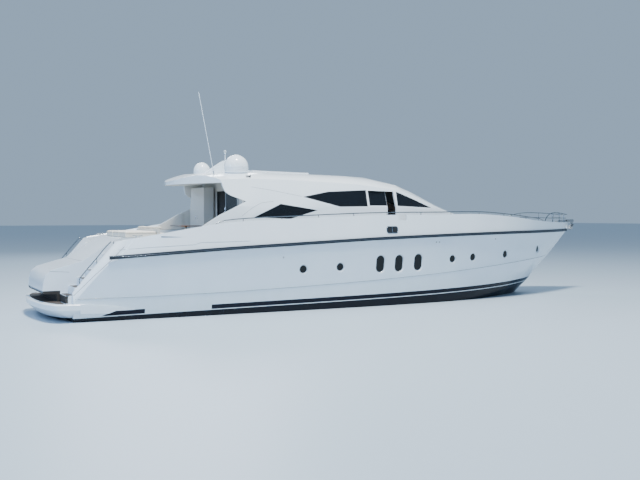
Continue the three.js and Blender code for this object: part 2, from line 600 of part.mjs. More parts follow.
add('saloon_sofa', join(
  box(-3900, -900, 950, 1780, SALOON_Z + GAP, 3180),
  box(-3900, -900, 1560, 1780, 3179, 3620),
), LEATHER);
const table = (x, y, floor, length, width, height) => join(
  box(x - 70, x + 70, y - 70, y + 70, floor + GAP, floor + height - 20),
  box(x - length / 2, x + length / 2, y - width / 2, y + width / 2, floor + height - 40, floor + height),
);
add('saloon_table', table(-2300, 300, SALOON_Z, 1300, 700, 680), TEAK);
add('cockpit_sofa', join(
  box(-8000, -7350, -1350, 1350, COCKPIT_Z + GAP, 2870),
  box(-8090, -7900, -1350, 1350, COCKPIT_Z + GAP, 3120),
), LEATHER);
add('cockpit_table', table(-6650, -200, COCKPIT_Z, 800, 1300, 700), TEAK);

// Sunpads
add('aft_sunpad', box(-9280, -8110, -1350, 1350, garageTop.z + GAP, 2960), LEATHER);
const foreSunpad = loft([[6050, 1250], [8200, 920]].map(([x, half]) => bothSides([
  [x, half, coachroofZ(x) + GAP], [x, half, coachroofZ(x) + 60], [x, half - 40, coachroofZ(x) + 85],
])));
add('foredeck_sunpad', foreSunpad, LEATHER);

// Hatch to the cabin below the foredeck
const hatchRing = (x) => bothSides([
  [x, HATCH.half, coachroofZ(x) + PLAY], [x, HATCH.half - 20, coachroofZ(x) + 50],
]);
const hatchPin = (x, z, half) => pinAlongY(PLAY - GAP, x, z, -half, half);
add('cabin_hatch', loft([hatchRing(HATCH.x0), hatchRing(HATCH.x1)]).add(
  hatchPin(HATCH.x1, coachroofZ(HATCH.x1) + PLAY, HATCH.half - 60)), GLASS);

// Screws on their shafts, brackets, stern tubes and rudders
const SHAFT_RADIUS = 38;
const BORE_RADIUS = 39.2;
const alongShaft = (radius, from, to, sides = 16) => solidOf(
  new THREE.CylinderGeometry(radius, radius, to - from, sides).rotateZ(-Math.PI / 2)
    .translate((from + to) / 2, 0, 0).rotateY(-SHAFT_FALL).translate(...SCREW_AT));
function screw(hand) {
  const blade = new THREE.Shape();
  blade.absellipse(0, 255, 165, 200, 0, 2 * Math.PI);
  const spin = [0, 1, 2, 3].map((k) => {
    const one = new THREE.ExtrudeGeometry(blade, { depth: 16, bevelEnabled: false, curveSegments: 8 });
    return one.translate(0, 0, -8).rotateY(hand * 1.05).rotateX((k * Math.PI) / 2);
  });
  const placed = spin.map((one) => solidOf(one.rotateY(-SHAFT_FALL).translate(...SCREW_AT)));
  const boss = alongShaft(78, -130, 110);
  return join(boss, alongShaft(50, -230, -129), alongShaft(SHAFT_RADIUS, 100, 3650), ...placed);
}
const hullSkin = hullBody(GAP);
const bearing = cut(alongShaft(64, 300, 520), alongShaft(BORE_RADIUS, 200, 700, 24));
const strutX = SCREW_AT[0] + 410;
const strutFootZ = SCREW_AT[2] + 410 * Math.tan(SHAFT_FALL) + 58;
const strut = box(strutX - 90, strutX + 90, SCREW_Y - 16, SCREW_Y + 16, strutFootZ, -250);
const bracket = cut(join(bearing, strut), hullSkin);
const sternTube = cut(alongShaft(66, 2500, 4200), hullSkin, alongShaft(BORE_RADIUS, 2400, 3660, 24));
const stockProfile = [[0, -1300], [42, -1300], [42, -560 - GAP], [0, -560 - GAP]];
const rudderStock = turned(stockProfile, [RUDDER_X, SCREW_Y, 0], 12);
const rudderBlade = prism('yz', [[SCREW_Y - 8, -1560], [SCREW_Y + 8, -1560], [SCREW_Y + 34, -1200],
  [SCREW_Y + 38, -640], [SCREW_Y - 38, -640], [SCREW_Y - 34, -1200]], RUDDER_X - 330, RUDDER_X + 190);
const rudder = join(rudderStock, rudderBlade);
const drives = { screw: screw(1), shaft_bracket: bracket, stern_tube: sternTube, rudder };
for (const [name, solid] of Object.entries(drives)) {
  add(`${name}_port`, solid, BRONZE);
  add(`${name}_starboard`, mirrored(solid), BRONZE);
}

// A place on the bulwark's top edge at x: half-breadth and height
function bulwarkAt(x) {
  let [low, high] = [0, 1];
  for (let i = 0; i < 30; i += 1) {
    const middle = (low + high) / 2;
    if (BULWARK.getPoint(middle).x < x) low = middle;
    else high = middle;
  }
  const place = BULWARK.getPoint(low);
  return [place.y - BULWARK_WALL / 2, place.z];
}

// Rails: a hand rail along each bulwark, the pulpit round the bow, and one beside each stair
const RAIL_TUBE = 19;
const railPoint = (x, above, inboard = 0) => [x, bulwarkAt(x)[0] - inboard, bulwarkAt(x)[1] + above];
const stanchion = (x, above, inboard = 0) =>
  tube([railPoint(x, GAP + 0.2), railPoint(x, above, inboard)], 11, { sides: 6 });
const HAND_RAIL = [[-6450, 2], [-6300, 45], [-6000, 66], [-4500, 75], [-3000, 75], [-1500, 75], [0, 75],
  [1500, 75], [3000, 75], [4200, 75], [5400, 75], [6600, 75], [7800, 75], [9000, 75], [9500, 62],
  [9620, 2]]; // x, height above the bulwark
const handRail = join(
  tube(HAND_RAIL.map(([x, above]) => railPoint(x, above + RAIL_TUBE)), RAIL_TUBE, { steps: 44 }),
  ...[-5400, -3900, -2400, -900, 600, 2200, 3700, 5200, 6700, 8200].map((x) => stanchion(x, 90)),
);
const deckSkin = deckBody(0.5);
const clearOfDeck = (solid) => cut(solid, deckSkin);
add('hand_rail_port', clearOfDeck(handRail), STEEL);
add('hand_rail_starboard', mirrored(clearOfDeck(handRail)), STEEL);

const PULPIT = [[9760, 0, 0], [9950, 190, 20], [10250, 340, 40], [10700, 430, 50], [11300, 440, 50],
  [11900, 400, 20]]; // x, height above the bulwark, distance inboard
const pulpitHalf = PULPIT.map(([x, above, inboard]) => railPoint(x, above, inboard));
const pulpitBow = [[12330, 110, 3570], [12400, 0, 3565]];
const otherHalf = (points) => [...points].reverse().map(([x, y, z]) => [x, -y, z]);
const midRail = [[10500, 210], [11300, 215], [11900, 200]].map(([x, above]) => railPoint(x, above, 30));
const midBow = [[12300, 90, 3400], [12350, 0, 3400]];
const pulpit = join(
  tube([...pulpitHalf, ...pulpitBow, ...otherHalf([...pulpitHalf, pulpitBow[0]])], RAIL_TUBE, { steps: 44 }),
  tube([...midRail, ...midBow, ...otherHalf([...midRail, midBow[0]])], 12, { sides: 6, steps: 26 }),
  ...[10500, 11300, 11900].flatMap((x) => {
    const above = { 10500: 395, 11300: 440, 11900: 400 }[x];
    const one = stanchion(x, above, 40);
    return [one, mirrored(one)];
  }),
);
add('pulpit', clearOfDeck(pulpit), STEEL);

const finTop = (x) => 860 + ((x + 11400) * 1840) / 1570;
const overFin = ([x, above]) => [x, 2440, finTop(x) + above];
const STAIR_RAIL = [[-11050, -20], [-11080, 150], [-10950, 190], [-10500, 190], [-10150, 190],
  [-9960, 120], [-9930, -30]]; // x, height above the sloping end of the side
const stairRail = join(
  tube(STAIR_RAIL.map(overFin), 17, { steps: 24 }),
  tube([[-10500, -20], [-10500, 190]].map(overFin), 12, { sides: 6 }),
);
const underRail = [[-11400.4, 860], [-9830.4, 2700.3], [-9500, 2760.3], [-9500, 1500], [-11400, 700]];
const stairRailSeated = cut(stairRail, prism('xz', underRail, 2000, 3000));
add('stair_rail_port', stairRailSeated, STEEL);
add('stair_rail_starboard', mirrored(stairRailSeated), STEEL);

// Anchor on its roller, windlass and cleats
const rollerBed = [[11750, 3200.6], [12540, 3200.6], [12700, 3150], [12720, 3240], [12560, 3262],
  [11750, 3262]];
const rollerCheek = [[12380, 3240], [12720, 3150], [12760, 3240], [12700, 3330], [12420, 3330]];
add('bow_roller', join(
  prism('xz', rollerBed, -80, 80), prism('xz', rollerCheek, -92, -72), prism('xz', rollerCheek, 72, 92),
), STEEL);
const fluke = prism('xz', [[12860, 3300], [12790, 3120], [12640, 2860], [12560, 2830], [12640, 3040],
  [12745, 3200], [12780, 3340]], -22, 22);
const flukeWing = loft([
  [[12560, -190, 2870], [12560, 190, 2870], [12560, 190, 2850], [12560, -190, 2850]],
  [[12760, -120, 3110], [12760, 120, 3110], [12760, 120, 3090], [12760, -120, 3090]],
]);
const shank = prism('xz', [[11900, 3262.6], [12790, 3262.6], [12850, 3300], [12800, 3345],
  [11900, 3310]], -20, 20);
add('anchor', join(fluke, flukeWing, shank), STEEL);
const gypsy = [[0, 0], [130, 0], [130, 60], [70, 80], [60, 150], [95, 200], [95, 225], [0, 235]];
add('windlass', join(
  turned(gypsy, [11180, 0, DECK_Z + GAP]),
  box(11000, 11500, -110, 110, DECK_Z + GAP, DECK_Z + 50),
), STEEL);
function cleat(x, y, z) {
  const horn = [[-170, 78], [-80, 70], [80, 70], [170, 78]].map(([along, up]) => [x + along, y, z + up]);
  return join(
    tube(horn, 17, { steps: 6 }),
    box(x - 75, x - 40, y - 16, y + 16, z + GAP, z + 74),
    box(x + 40, x + 75, y - 16, y + 16, z + GAP, z + 74),
    box(x - 95, x + 95, y - 30, y + 30, z + GAP, z + 14),
  );
}
const CLEATS = { stern: [-9150, 2560, bulwarkAt(-9150)[1] - 25], bow: [10350, 780, DECK_Z] };
for (const [name, place] of Object.entries(CLEATS)) {
  add(`cleat_${name}_port`, clearOfDeck(cleat(...place)), STEEL);
  add(`cleat_${name}_starboard`, mirrored(clearOfDeck(cleat(...place))), STEEL);
}

// On the hardtop: two domes, the fin that carries the masthead light, and a whip aerial
const roofSkin = houseBody(-GAP, DECK_Z);
function dome(radius, top, x, y) {
  const round = [15, 30, 45, 60, 75].map((deg) => {
    const turn = THREE.MathUtils.degToRad(deg);
    return [radius * Math.cos(turn), radius * Math.sin(turn)];
  });
  const profile = [[0, -420], [0.72 * radius, -420], [0.72 * radius, -300], [0.98 * radius, -170],
    [radius, 0], ...round, [0, radius]];
  return cut(turned(profile, [x, y, top - radius], 24), roofSkin);
}
add('radome_large', dome(460, 5790, -4940, -1000), GELCOAT);
add('radome_small', dome(330, 5600, -5520, 1150), GELCOAT);
const mastFin = [[-5900, 5000], [-5860, 5130], [-5100, 5620], [-4900, 5650], [-4880, 5590],
  [-4600, 5150], [-4500, 5000]];
add('light_mast', cut(join(
  prism('xz', mastFin, -55, 55),
  turned([[0, 0], [16, 0], [16, 300], [45, 310], [45, 420], [0, 430]], [-4990, 0, 5600], 12),
), roofSkin), GELCOAT);
const whip = [[-5970, -1450, 4900], [-6020, -1450, 5150], [-6570, -1450, 7970]];
add('whip_aerial', cut(tube(whip, 13, { smooth: false, sides: 6, steps: 8 }), roofSkin), GELCOAT);

yacht.updateMatrixWorld(true);
export default yacht;
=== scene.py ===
# Express motor yacht of 25 m, afloat: the looks of every piece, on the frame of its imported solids.
# Metres, +X to the bow, +Y to port, +Z up, z = 0 at the waterline.
import json
import math

import bpy
from mathutils import Matrix, Vector
from mathutils.bvhtree import BVHTree

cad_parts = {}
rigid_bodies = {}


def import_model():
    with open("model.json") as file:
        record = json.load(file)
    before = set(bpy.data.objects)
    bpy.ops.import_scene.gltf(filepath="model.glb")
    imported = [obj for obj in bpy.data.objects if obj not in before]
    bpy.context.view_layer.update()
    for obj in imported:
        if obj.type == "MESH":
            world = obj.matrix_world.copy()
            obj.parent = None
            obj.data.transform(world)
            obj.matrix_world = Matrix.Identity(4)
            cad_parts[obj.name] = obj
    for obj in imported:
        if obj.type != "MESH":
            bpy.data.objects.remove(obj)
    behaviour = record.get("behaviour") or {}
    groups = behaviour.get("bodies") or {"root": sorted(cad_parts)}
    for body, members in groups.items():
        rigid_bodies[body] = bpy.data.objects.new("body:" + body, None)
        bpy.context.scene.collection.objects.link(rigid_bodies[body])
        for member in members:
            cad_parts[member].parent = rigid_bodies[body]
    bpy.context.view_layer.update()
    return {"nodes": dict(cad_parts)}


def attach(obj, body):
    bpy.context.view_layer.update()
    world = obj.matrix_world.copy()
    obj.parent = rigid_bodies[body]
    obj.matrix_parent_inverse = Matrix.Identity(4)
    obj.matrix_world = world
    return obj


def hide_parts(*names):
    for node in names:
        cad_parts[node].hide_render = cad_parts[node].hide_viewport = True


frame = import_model()

SIDES = (("port", 1), ("starboard", -1))


# Camera, light and floor
# The boat is seen from its starboard quarter, a little above the water. The floor stands for the
# water's surface, and soft lamps and a pale sky light it as in a studio.
def linear(hex_colour):
    """An sRGB hex colour as linear RGBA."""
    parts = [int(hex_colour[i:i + 2], 16) / 255 for i in (1, 3, 5)]
    return (*[c / 12.92 if c <= 0.04045 else ((c + 0.055) / 1.055) ** 2.4 for c in parts], 1)


def add_node(material, kind, links=None, **settings):
    """One node with its own settings, and its inputs set or linked by socket name or number."""
    node = material.node_tree.nodes.new(kind)
    for name, value in settings.items():
        setattr(node, name, value)
    for socket, value in (links or {}).items():
        if isinstance(value, bpy.types.NodeSocket):
            material.node_tree.links.new(value, node.inputs[socket])
        else:
            node.inputs[socket].default_value = value
    return node


def new_material(name, roughness=0.5, metallic=0.0, **sockets):
    """A material with its shader, output and place on the object."""
    material = bpy.data.materials.new(name)
    material.use_nodes = True
    material.node_tree.nodes.clear()
    shader = add_node(material, "ShaderNodeBsdfPrincipled", {
        "Roughness": roughness, "Metallic": metallic, **sockets,
    })
    add_node(material, "ShaderNodeOutputMaterial", {"Surface": shader.outputs["BSDF"]})
    place = add_node(material, "ShaderNodeTexCoord").outputs["Object"]
    return material, shader, place


def link(material, output, socket):
    material.node_tree.links.new(output, socket)


camera_data = bpy.data.cameras.new("quay")
camera_data.lens = 48.94
camera_data.clip_end = 500
camera = bpy.data.objects.new("quay", camera_data)
bpy.context.scene.collection.objects.link(camera)
camera.location = (-17.25, -31.46, 3.5)
camera.rotation_mode = "QUATERNION"
camera.rotation_quaternion = Vector((0.4616, 0.8867, -0.0276)).to_track_quat("-Z", "Y")
bpy.context.scene.camera = camera

world = bpy.data.worlds.new("studio")
world.use_nodes = True
world.node_tree.nodes["Background"].inputs["Color"].default_value = linear("#aecbe8")
world.node_tree.nodes["Background"].inputs["Strength"].default_value = 0.75
bpy.context.scene.world = world


def lamp(name, place, aim, size, watts, hex_colour):
    data = bpy.data.lights.new(name, "AREA")
    data.shape = "RECTANGLE"
    data.size, data.size_y = size
    data.energy = watts
    data.color = linear(hex_colour)[:3]
    one = bpy.data.objects.new(name, data)
    bpy.context.scene.collection.objects.link(one)
    one.location = place
    one.rotation_mode = "QUATERNION"
    one.rotation_quaternion = (Vector(aim) - Vector(place)).to_track_quat("-Z", "Y")


lamp("high_quay", (-6, -13, 44), (-2, 0, 2), (8, 8), 44000, "#fbfaf4")
lamp("stern_side", (-40, -8, 14), (-6, 0, 2), (8, 8), 6500, "#9dbdec")
lamp("quay_side", (-12, -44, 14), (-2, 0, 2), (30, 8), 3000, "#b4d2f4")
lamp("port_side", (6, 42, 26), (0, 0, 2), (20, 10), 7000, "#e6eef6")

bpy.ops.mesh.primitive_plane_add(size=600)
floor = bpy.context.object
floor.name = "floor"
studio_floor, shader, place = new_material("matt_studio_floor", 0.42)
shader.inputs["Base Color"].default_value = linear("#b3c3d1")
floor.data.materials.append(studio_floor)


# Hull
# The lower moulding of the boat, laid up in one mould down to the keel: white gelcoat polished
# over glass laminate. The boot stripe is painted on, and the bottom has antifouling.
def only(*objects):
    bpy.ops.object.select_all(action="DESELECT")
    for one in objects:
        one.select_set(True)
    bpy.context.view_layer.objects.active = objects[0]


def edit(one, selected=None):
    """Edit mode with all faces, or only those of these numbers, selected."""
    only(one)
    bpy.ops.object.mode_set(mode="EDIT")
    bpy.ops.mesh.select_mode(type="FACE")
    bpy.ops.mesh.select_all(action="SELECT" if selected is None else "DESELECT")
    if selected is not None:
        bpy.ops.object.mode_set(mode="OBJECT")
        chosen = set(selected)
        for face in one.data.polygons:
            face.select = face.index in chosen
        bpy.ops.object.mode_set(mode="EDIT")


def done():
    bpy.ops.object.mode_set(mode="OBJECT")


def outward():
    """In edit mode, selects all faces and turns them outward."""
    bpy.ops.mesh.select_all(action="SELECT")
    bpy.ops.mesh.normals_make_consistent(inside=False)


def apply_place(one):
    """Moves a piece's own place, turn and scale into its mesh."""
    only(one)
    bpy.ops.object.transform_apply(location=True, rotation=True, scale=True)
    return one


def faces_where(one, test):
    return [face.index for face in one.data.polygons if test(face.center, face.normal)]


def mesh_object(name, points, faces):
    mesh = bpy.data.meshes.new(name)
    mesh.from_pydata(points, [], faces)
    one = bpy.data.objects.new(name, mesh)
    bpy.context.scene.collection.objects.link(one)
    return one


def copy_of(name, *nodes, joint=None):
    """One merged mesh of these solids, without their faces at a joint (axis, place)."""
    points, faces = [], []
    for node in nodes:
        mesh = frame["nodes"][node].data
        first = len(points)
        points += [v.co.copy() for v in mesh.vertices]
        faces += [[first + i for i in p.vertices] for p in mesh.polygons]
    one = mesh_object(name, points, faces)
    for axis, where in joint or ():
        edit(one, faces_where(one, lambda c, n: abs(c[axis] - where) < 0.001 and abs(n[axis]) > 0.99))
        bpy.ops.mesh.delete(type="FACE")
        done()
    edit(one)
    bpy.ops.mesh.remove_doubles(threshold=0.0006 if joint else 0.0002)
    done()
    return one


def given(one, *materials):
    for material in materials:
        one.data.materials.append(material)


def assign(index):
    """In edit mode, the selected faces take the piece's material of this number."""
    bpy.context.object.active_material_index = index
    bpy.ops.object.material_slot_assign()


def flattened(one):
    """Joins the faces that lie in one plane."""
    edit(one)
    bpy.ops.mesh.dissolve_limited(angle_limit=math.radians(0.5))
    done()


def body_of(node):
    return frame["nodes"][node].parent.name.replace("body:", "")


def finish_piece(one, material, slot, *nodes, body="yacht"):
    """The piece's finish, the body that it rides on, and the solids that it stands for."""
    if not one.data.materials:
        one.data.materials.append(material)
    if nodes:
        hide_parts(*nodes)
        body = body_of(nodes[0])
    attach(one, body)
    return one


def apply_modifiers(one):
    only(one)
    for modifier in list(one.modifiers):
        bpy.ops.object.modifier_apply(modifier=modifier.name)


def smooth(one, angle=30):
    only(one)
    bpy.ops.object.shade_smooth_by_angle(angle=math.radians(angle))
    one.modifiers.new("even", "WEIGHTED_NORMAL").keep_sharp = True
    apply_modifiers(one)
    return one


CRISP = {"angle": 40, "smooth_angle": 32}


def rounded(one, width, segments=2, angle=35, smooth_angle=40):
    """Edges sharper than the angle get a small round."""
    bevel = one.modifiers.new("edges", "BEVEL")
    bevel.width = width
    bevel.segments = segments
    bevel.limit_method = "ANGLE"
    bevel.angle_limit = math.radians(angle)
    apply_modifiers(one)
    return smooth(one, smooth_angle)


def skin_of(*objects):
    points, faces = [], []
    for one in objects:
        first = len(points)
        points += [v.co.copy() for v in one.data.vertices]
        faces += [[first + i for i in p.vertices] for p in one.data.polygons]
    return BVHTree.FromPolygons(points, faces)


def on_skin(skin, x, z, side):
    """The point and outward normal of the boat's side at x, z. side is 1 to port, -1 to starboard."""
    point, normal, _, _ = skin.ray_cast(Vector((x, side * 4.0, z)), Vector((0, -side, 0)))
    return point, normal


def set_on(one, point, normal, up=(0, 0, 1)):
    """Moves a piece modelled at the origin, its face along +Z and its top along +Y, on to a skin."""
    out = Vector(normal).normalized()
    across = Vector(up).cross(out).normalized()
    turn = Matrix((across, out.cross(across), out)).transposed().to_4x4()
    one.matrix_world = Matrix.Translation(point) @ turn
    return apply_place(one)


def copied(one, name):
    twin = one.copy()
    twin.data = one.data.copy()
    twin.name = name
    bpy.context.scene.collection.objects.link(twin)
    return twin


def joined(name, *objects):
    only(*objects)
    bpy.ops.object.join()
    objects[0].name = name
    return objects[0]


def mirrored(one, name):
    """The same piece on the other side of the centreline."""
    twin = copied(one, name)
    only(twin)
    bpy.ops.transform.mirror(constraint_axis=(False, True, False), orient_type="GLOBAL",
                             center_override=(0, 0, 0))
    apply_place(twin)
    edit(twin)
    outward()
    done()
    return twin


def surface_line(name, skin, places, side, radius, step=0.12):
    """A bead that lies on the side of the boat, through places given as x and z."""
    points = []
    for (x0, z0), (x1, z1) in zip(places, places[1:]):
        count = max(1, round(math.hypot(x1 - x0, z1 - z0) / step))
        points += [(x0 + (x1 - x0) * i / count, z0 + (z1 - z0) * i / count) for i in range(count)]
    points.append(places[-1])
    found = [on_skin(skin, x, z, side)[0] for x, z in points]
    return line_along(name, [p for p in found if p is not None], radius)


def line_along(name, points, radius, closed=False, sides=2):
    """A round bar, wire or bead through these points."""
    curve = bpy.data.curves.new(name, "CURVE")
    curve.dimensions = "3D"
    curve.bevel_depth = radius
    curve.bevel_resolution = sides
    curve.use_fill_caps = not closed
    spline = curve.splines.new("POLY")
    spline.points.add(len(points) - 1)
    spline.use_cyclic_u = closed
    for corner, point in zip(spline.points, points):
        corner.co = (*point, 1)
    one = bpy.data.objects.new(name, curve)
    bpy.context.scene.collection.objects.link(one)
    only(one)
    bpy.ops.object.convert(target="MESH")
    bpy.ops.object.shade_smooth()
    return bpy.context.object


def maths(material, operation, *values):
    links = {i: value for i, value in enumerate(values)}
    return add_node(material, "ShaderNodeMath", links, operation=operation).outputs[0]


def mixed(material, factor, first, second):
    return add_node(material, "ShaderNodeMix", {"Factor": factor, 6: first, 7: second},
                    data_type="RGBA").outputs[2]


def noise(material, place, scale, detail=2.0):
    return add_node(material, "ShaderNodeTexNoise", {
        "Vector": place, "Scale": scale, "Detail": detail,
    }).outputs["Fac"]


def bumped(material, shader, height, strength, distance):
    bump = add_node(material, "ShaderNodeBump", {
        "Height": height, "Strength": strength, "Distance": distance,
    })
    link(material, bump.outputs[0], shader.inputs["Normal"])


def ranged(material, value, low, high, socket, start=0.0, end=1.0):
    part = add_node(material, "ShaderNodeMapRange", {
        "Value": value, "From Min": start, "From Max": end, "To Min": low, "To Max": high,
    })
    link(material, part.outputs[0], socket)


def coloured(material, shader, factor, first, second):
    """The base colour runs between two tones."""
    link(material, mixed(material, factor, linear(first), linear(second)), shader.inputs["Base Color"])


def two_toned(name, roughness, metallic, scale, detail, first, second, bump=None, rough=None, **sockets):
    """A material whose tone wavers with a noise, drawn as coarse as it needs to show. The noise can
    raise it, by a strength and a distance, and roughen it, between two values."""
    material, shader, place = new_material(name, roughness, metallic, **sockets)
    speckle = noise(material, place, scale, detail)
    coloured(material, shader, speckle, first, second)
    if bump:
        bumped(material, shader, speckle, *bump)
    if rough:
        ranged(material, speckle, *rough, shader.inputs["Roughness"])
    return material


def gelcoat(name, hex_colour, shade, wax=0.4, ior=1.48):
    """Polished gelcoat: a hard gloss over an even colour, with the waviness of the laminate below
    and an orange peel, drawn coarser than the real one so that it shows."""
    material, shader, place = new_material(name, 0.16, 0.0, **{
        "IOR": ior, "Coat Weight": wax, "Coat Roughness": 0.05,
    })
    wave = noise(material, place, 0.9)
    peel = noise(material, place, 55.0)
    both = maths(material, "MULTIPLY_ADD", peel, 0.12, wave)
    bumped(material, shader, both, 0.12, 0.03)
    ranged(material, peel, 0.12, 0.2, shader.inputs["Roughness"])
    return material, shader, place, mixed(material, wave, linear(hex_colour), linear(shade))


white_gelcoat, shader, place, colour = gelcoat("polished_white_gelcoat", "#eef6fc", "#e2ecf5")
link(white_gelcoat, colour, shader.inputs["Base Color"])

# Dark bottom paint, streaky and dull beside the gelcoat, and a boot stripe above it with a white line
# between. The stripe's upper edge is a cubic in x, given by its four terms. Its aft end is cut on the
# slant, and a stretch of it is left bare.
STRIPE_GAP = (-8.93, -6.55)
STRIPE_AFT_END = -9.93


def boot_striped(name, edge, stripe, line):
    """White gelcoat with a painted stripe and bottom: their heights are in metres. Its gloss is low,
    so that the dark paint stays near black over a pale floor."""
    material, shader, place, white = gelcoat(name, "#e9f3fb", "#dce8f3", wax=0.0, ior=1.3)
    axes = add_node(material, "ShaderNodeSeparateXYZ", {0: place})
    x, z = axes.outputs["X"], axes.outputs["Z"]
    top = maths(material, "MULTIPLY_ADD", x, edge[3], edge[2])
    top = maths(material, "MULTIPLY_ADD", top, x, edge[1])
    top = maths(material, "MULTIPLY_ADD", top, x, edge[0])
    below = maths(material, "SUBTRACT", top, z)
    in_stripe = maths(material, "MULTIPLY", maths(material, "GREATER_THAN", below, 0.0),
                      maths(material, "LESS_THAN", below, stripe))
    in_gap = maths(material, "MULTIPLY", maths(material, "GREATER_THAN", x, STRIPE_GAP[0]),
                   maths(material, "LESS_THAN", x, STRIPE_GAP[1]))
    past_end = maths(material, "LESS_THAN", maths(material, "MULTIPLY_ADD", below, 3.0, x), STRIPE_AFT_END)
    bare = maths(material, "MAXIMUM", in_gap, past_end)
    in_stripe = maths(material, "MULTIPLY", in_stripe, maths(material, "SUBTRACT", 1.0, bare))
    in_bottom = maths(material, "GREATER_THAN", below, stripe + line)
    streaks = add_node(material, "ShaderNodeMapping", {"Vector": place, "Scale": (5.0, 5.0, 0.5)})
    soiling = maths(material, "MULTIPLY", noise(material, streaks.outputs[0], 1.0, 5.0),
                    add_node(material, "ShaderNodeMapRange", {
                        "Value": z, "From Min": 1.1, "From Max": 0.3, "To Min": 0.0, "To Max": 0.35,
                    }).outputs[0])
    white = mixed(material, soiling, white, linear("#c9ccc2"))
    bottom = mixed(material, noise(material, place, 7.0, 6.0), linear("#06070f"), linear("#10121d"))
    striped = mixed(material, in_stripe, white, linear("#050719"))
    link(material, mixed(material, in_bottom, striped, bottom), shader.inputs["Base Color"])
    return material


hull_paint = boot_striped("gelcoat_with_boot_stripe", (0.4801, 0.01523, 0.000701, 0.00006), 0.16, 0.027)

STERN_JOINT = -8.1
hull = copy_of("hull_shell", "hull", "hull_stern", joint=[(0, STERN_JOINT)])
hull_skin = skin_of(hull)


# Ports
# Fixed ports along the hull: dark toughened glass in a slim polished ring, at the bottom of a white
# pocket moulded in the side, wider at its mouth. Six are round and three upright, on each side.
ROUND_PORTS = [(-3.03, 1.54), (-1.48, 1.58), (3.84, 1.76), (4.95, 1.80), (6.93, 1.87), (9.47, 2.02)]
TALL_PORTS = [(0.30, 1.65), (1.17, 1.65), (2.09, 1.67)]
ROUND_GLASS = 0.3
TALL_GLASS = (0.38, 0.66)
POCKET_MARGIN = 0.035
RIM_BAR = 0.012
POCKET_DEPTH = 0.06
PORT_SIDES = 32
PANE_THICK = 0.012


def stretched(one, by):
    """The upper half of a round piece moves up and the lower half down, which leaves straight sides."""
    for side in (1, -1):
        only(one)
        bpy.ops.object.mode_set(mode="EDIT")
        bpy.ops.mesh.select_mode(type="VERT")
        bpy.ops.mesh.select_all(action="DESELECT")
        bpy.ops.object.mode_set(mode="OBJECT")
        for vertex in one.data.vertices:
            vertex.select = vertex.co.y * side > 1e-4
        bpy.ops.object.mode_set(mode="EDIT")
        bpy.ops.transform.translate(value=(0, side * by, 0))
        done()


def inset_faces(one, test, thickness, depth=0.0, material_index=None, each=False, even=True):
    """Sinks or raises panels in the faces that pass a test."""
    edit(one, faces_where(one, test))
    bpy.ops.mesh.inset(thickness=thickness, depth=depth, use_even_offset=even, use_individual=each)
    if material_index is not None:
        assign(material_index)
    done()


def half_step(one, count):
    """Turns a ring by half a step, so that no point of it lies on its middle line."""
    edit(one)
    bpy.ops.transform.rotate(value=math.pi / count, orient_axis="Z", center_override=(0, 0, 0))
    done()


def port_parts(glass):
    """A ring round the glass, the pane itself, and the pocket that is cut in the side."""
    bpy.ops.mesh.primitive_torus_add(location=(0, 0, 0.006 - POCKET_DEPTH), major_radius=glass / 2,
                                     minor_radius=RIM_BAR, major_segments=PORT_SIDES, minor_segments=8)
    rim = bpy.context.object
    bpy.ops.mesh.primitive_cylinder_add(vertices=PORT_SIDES, radius=glass / 2, depth=PANE_THICK,
                                        location=(0, 0, 0.008 - POCKET_DEPTH))
    pane = bpy.context.object
    mouth = glass / 2 + POCKET_MARGIN
    slope = POCKET_MARGIN - RIM_BAR / 2
    bpy.ops.mesh.primitive_cone_add(vertices=PORT_SIDES, radius1=mouth - slope, radius2=mouth + slope,
                                    depth=2 * POCKET_DEPTH)
    pocket = bpy.context.object
    for one in (rim, pane, pocket):
        half_step(apply_place(one), PORT_SIDES)
    inset_faces(pane, lambda c, n: n.z > 0.9, 0.014, -0.004)
    return rim, pane, pocket


round_parts = port_parts(ROUND_GLASS)
tall_parts = port_parts(TALL_GLASS[0])
for part in tall_parts:
    stretched(part, (TALL_GLASS[1] - TALL_GLASS[0]) / 2)
ports = [[], [], []]
for side in (-1, 1):
    for parts, places in ((round_parts, ROUND_PORTS), (tall_parts, TALL_PORTS)):
        for x, z in places:
            point, normal = on_skin(hull_skin, x, z, side)
            for kind, part in enumerate(parts):
                ports[kind].append(set_on(copied(part, "port"), point, normal))
for part in (*round_parts, *tall_parts):
    bpy.data.objects.remove(part)
port_rims = joined("port_rims", *ports[0])
port_panes = joined("port_panes", *ports[1])
pockets = joined("port_pockets", *ports[2])
hollow = hull.modifiers.new("pockets", "BOOLEAN")
hollow.object = pockets
hollow.solver = "EXACT"
apply_modifiers(hull)
bpy.data.objects.remove(pockets)
finish_piece(smooth(hull, 24), hull_paint, "gelcoat", "hull", "hull_stern")

# The knuckle along the side is a moulded edge, drawn as a bead of grey gelcoat: its grey is painted shade,
# for the small shadow below the edge.
painted_shade_bead, shader, place, colour = gelcoat("moulded_gelcoat_edge", "#8e9aa6", "#7f8c99")
link(painted_shade_bead, colour, shader.inputs["Base Color"])
KNUCKLE = [(-11.25, 0.778), (-9, 0.77), (-6, 0.81), (-3, 0.90), (0, 1.02), (3, 1.18), (5.2, 1.33),
           (7.2, 1.48), (8.8, 1.59), (9.85, 1.65), (10.6, 1.69)]
for name, side in SIDES:
    finish_piece(surface_line(f"knuckle_edge_{name}", hull_skin, KNUCKLE, side, 0.01), painted_shade_bead,
                 "gelcoat")

# Stainless steel, cast or drawn and then polished: a bright metal with fine swirls of the mop.
steel = two_toned("polished_stainless_steel", 0.12, 1.0, 90.0, 4.0, "#d4d6d8", "#bcbfc3",
                  bump=(0.05, 0.002), rough=(0.08, 0.2))

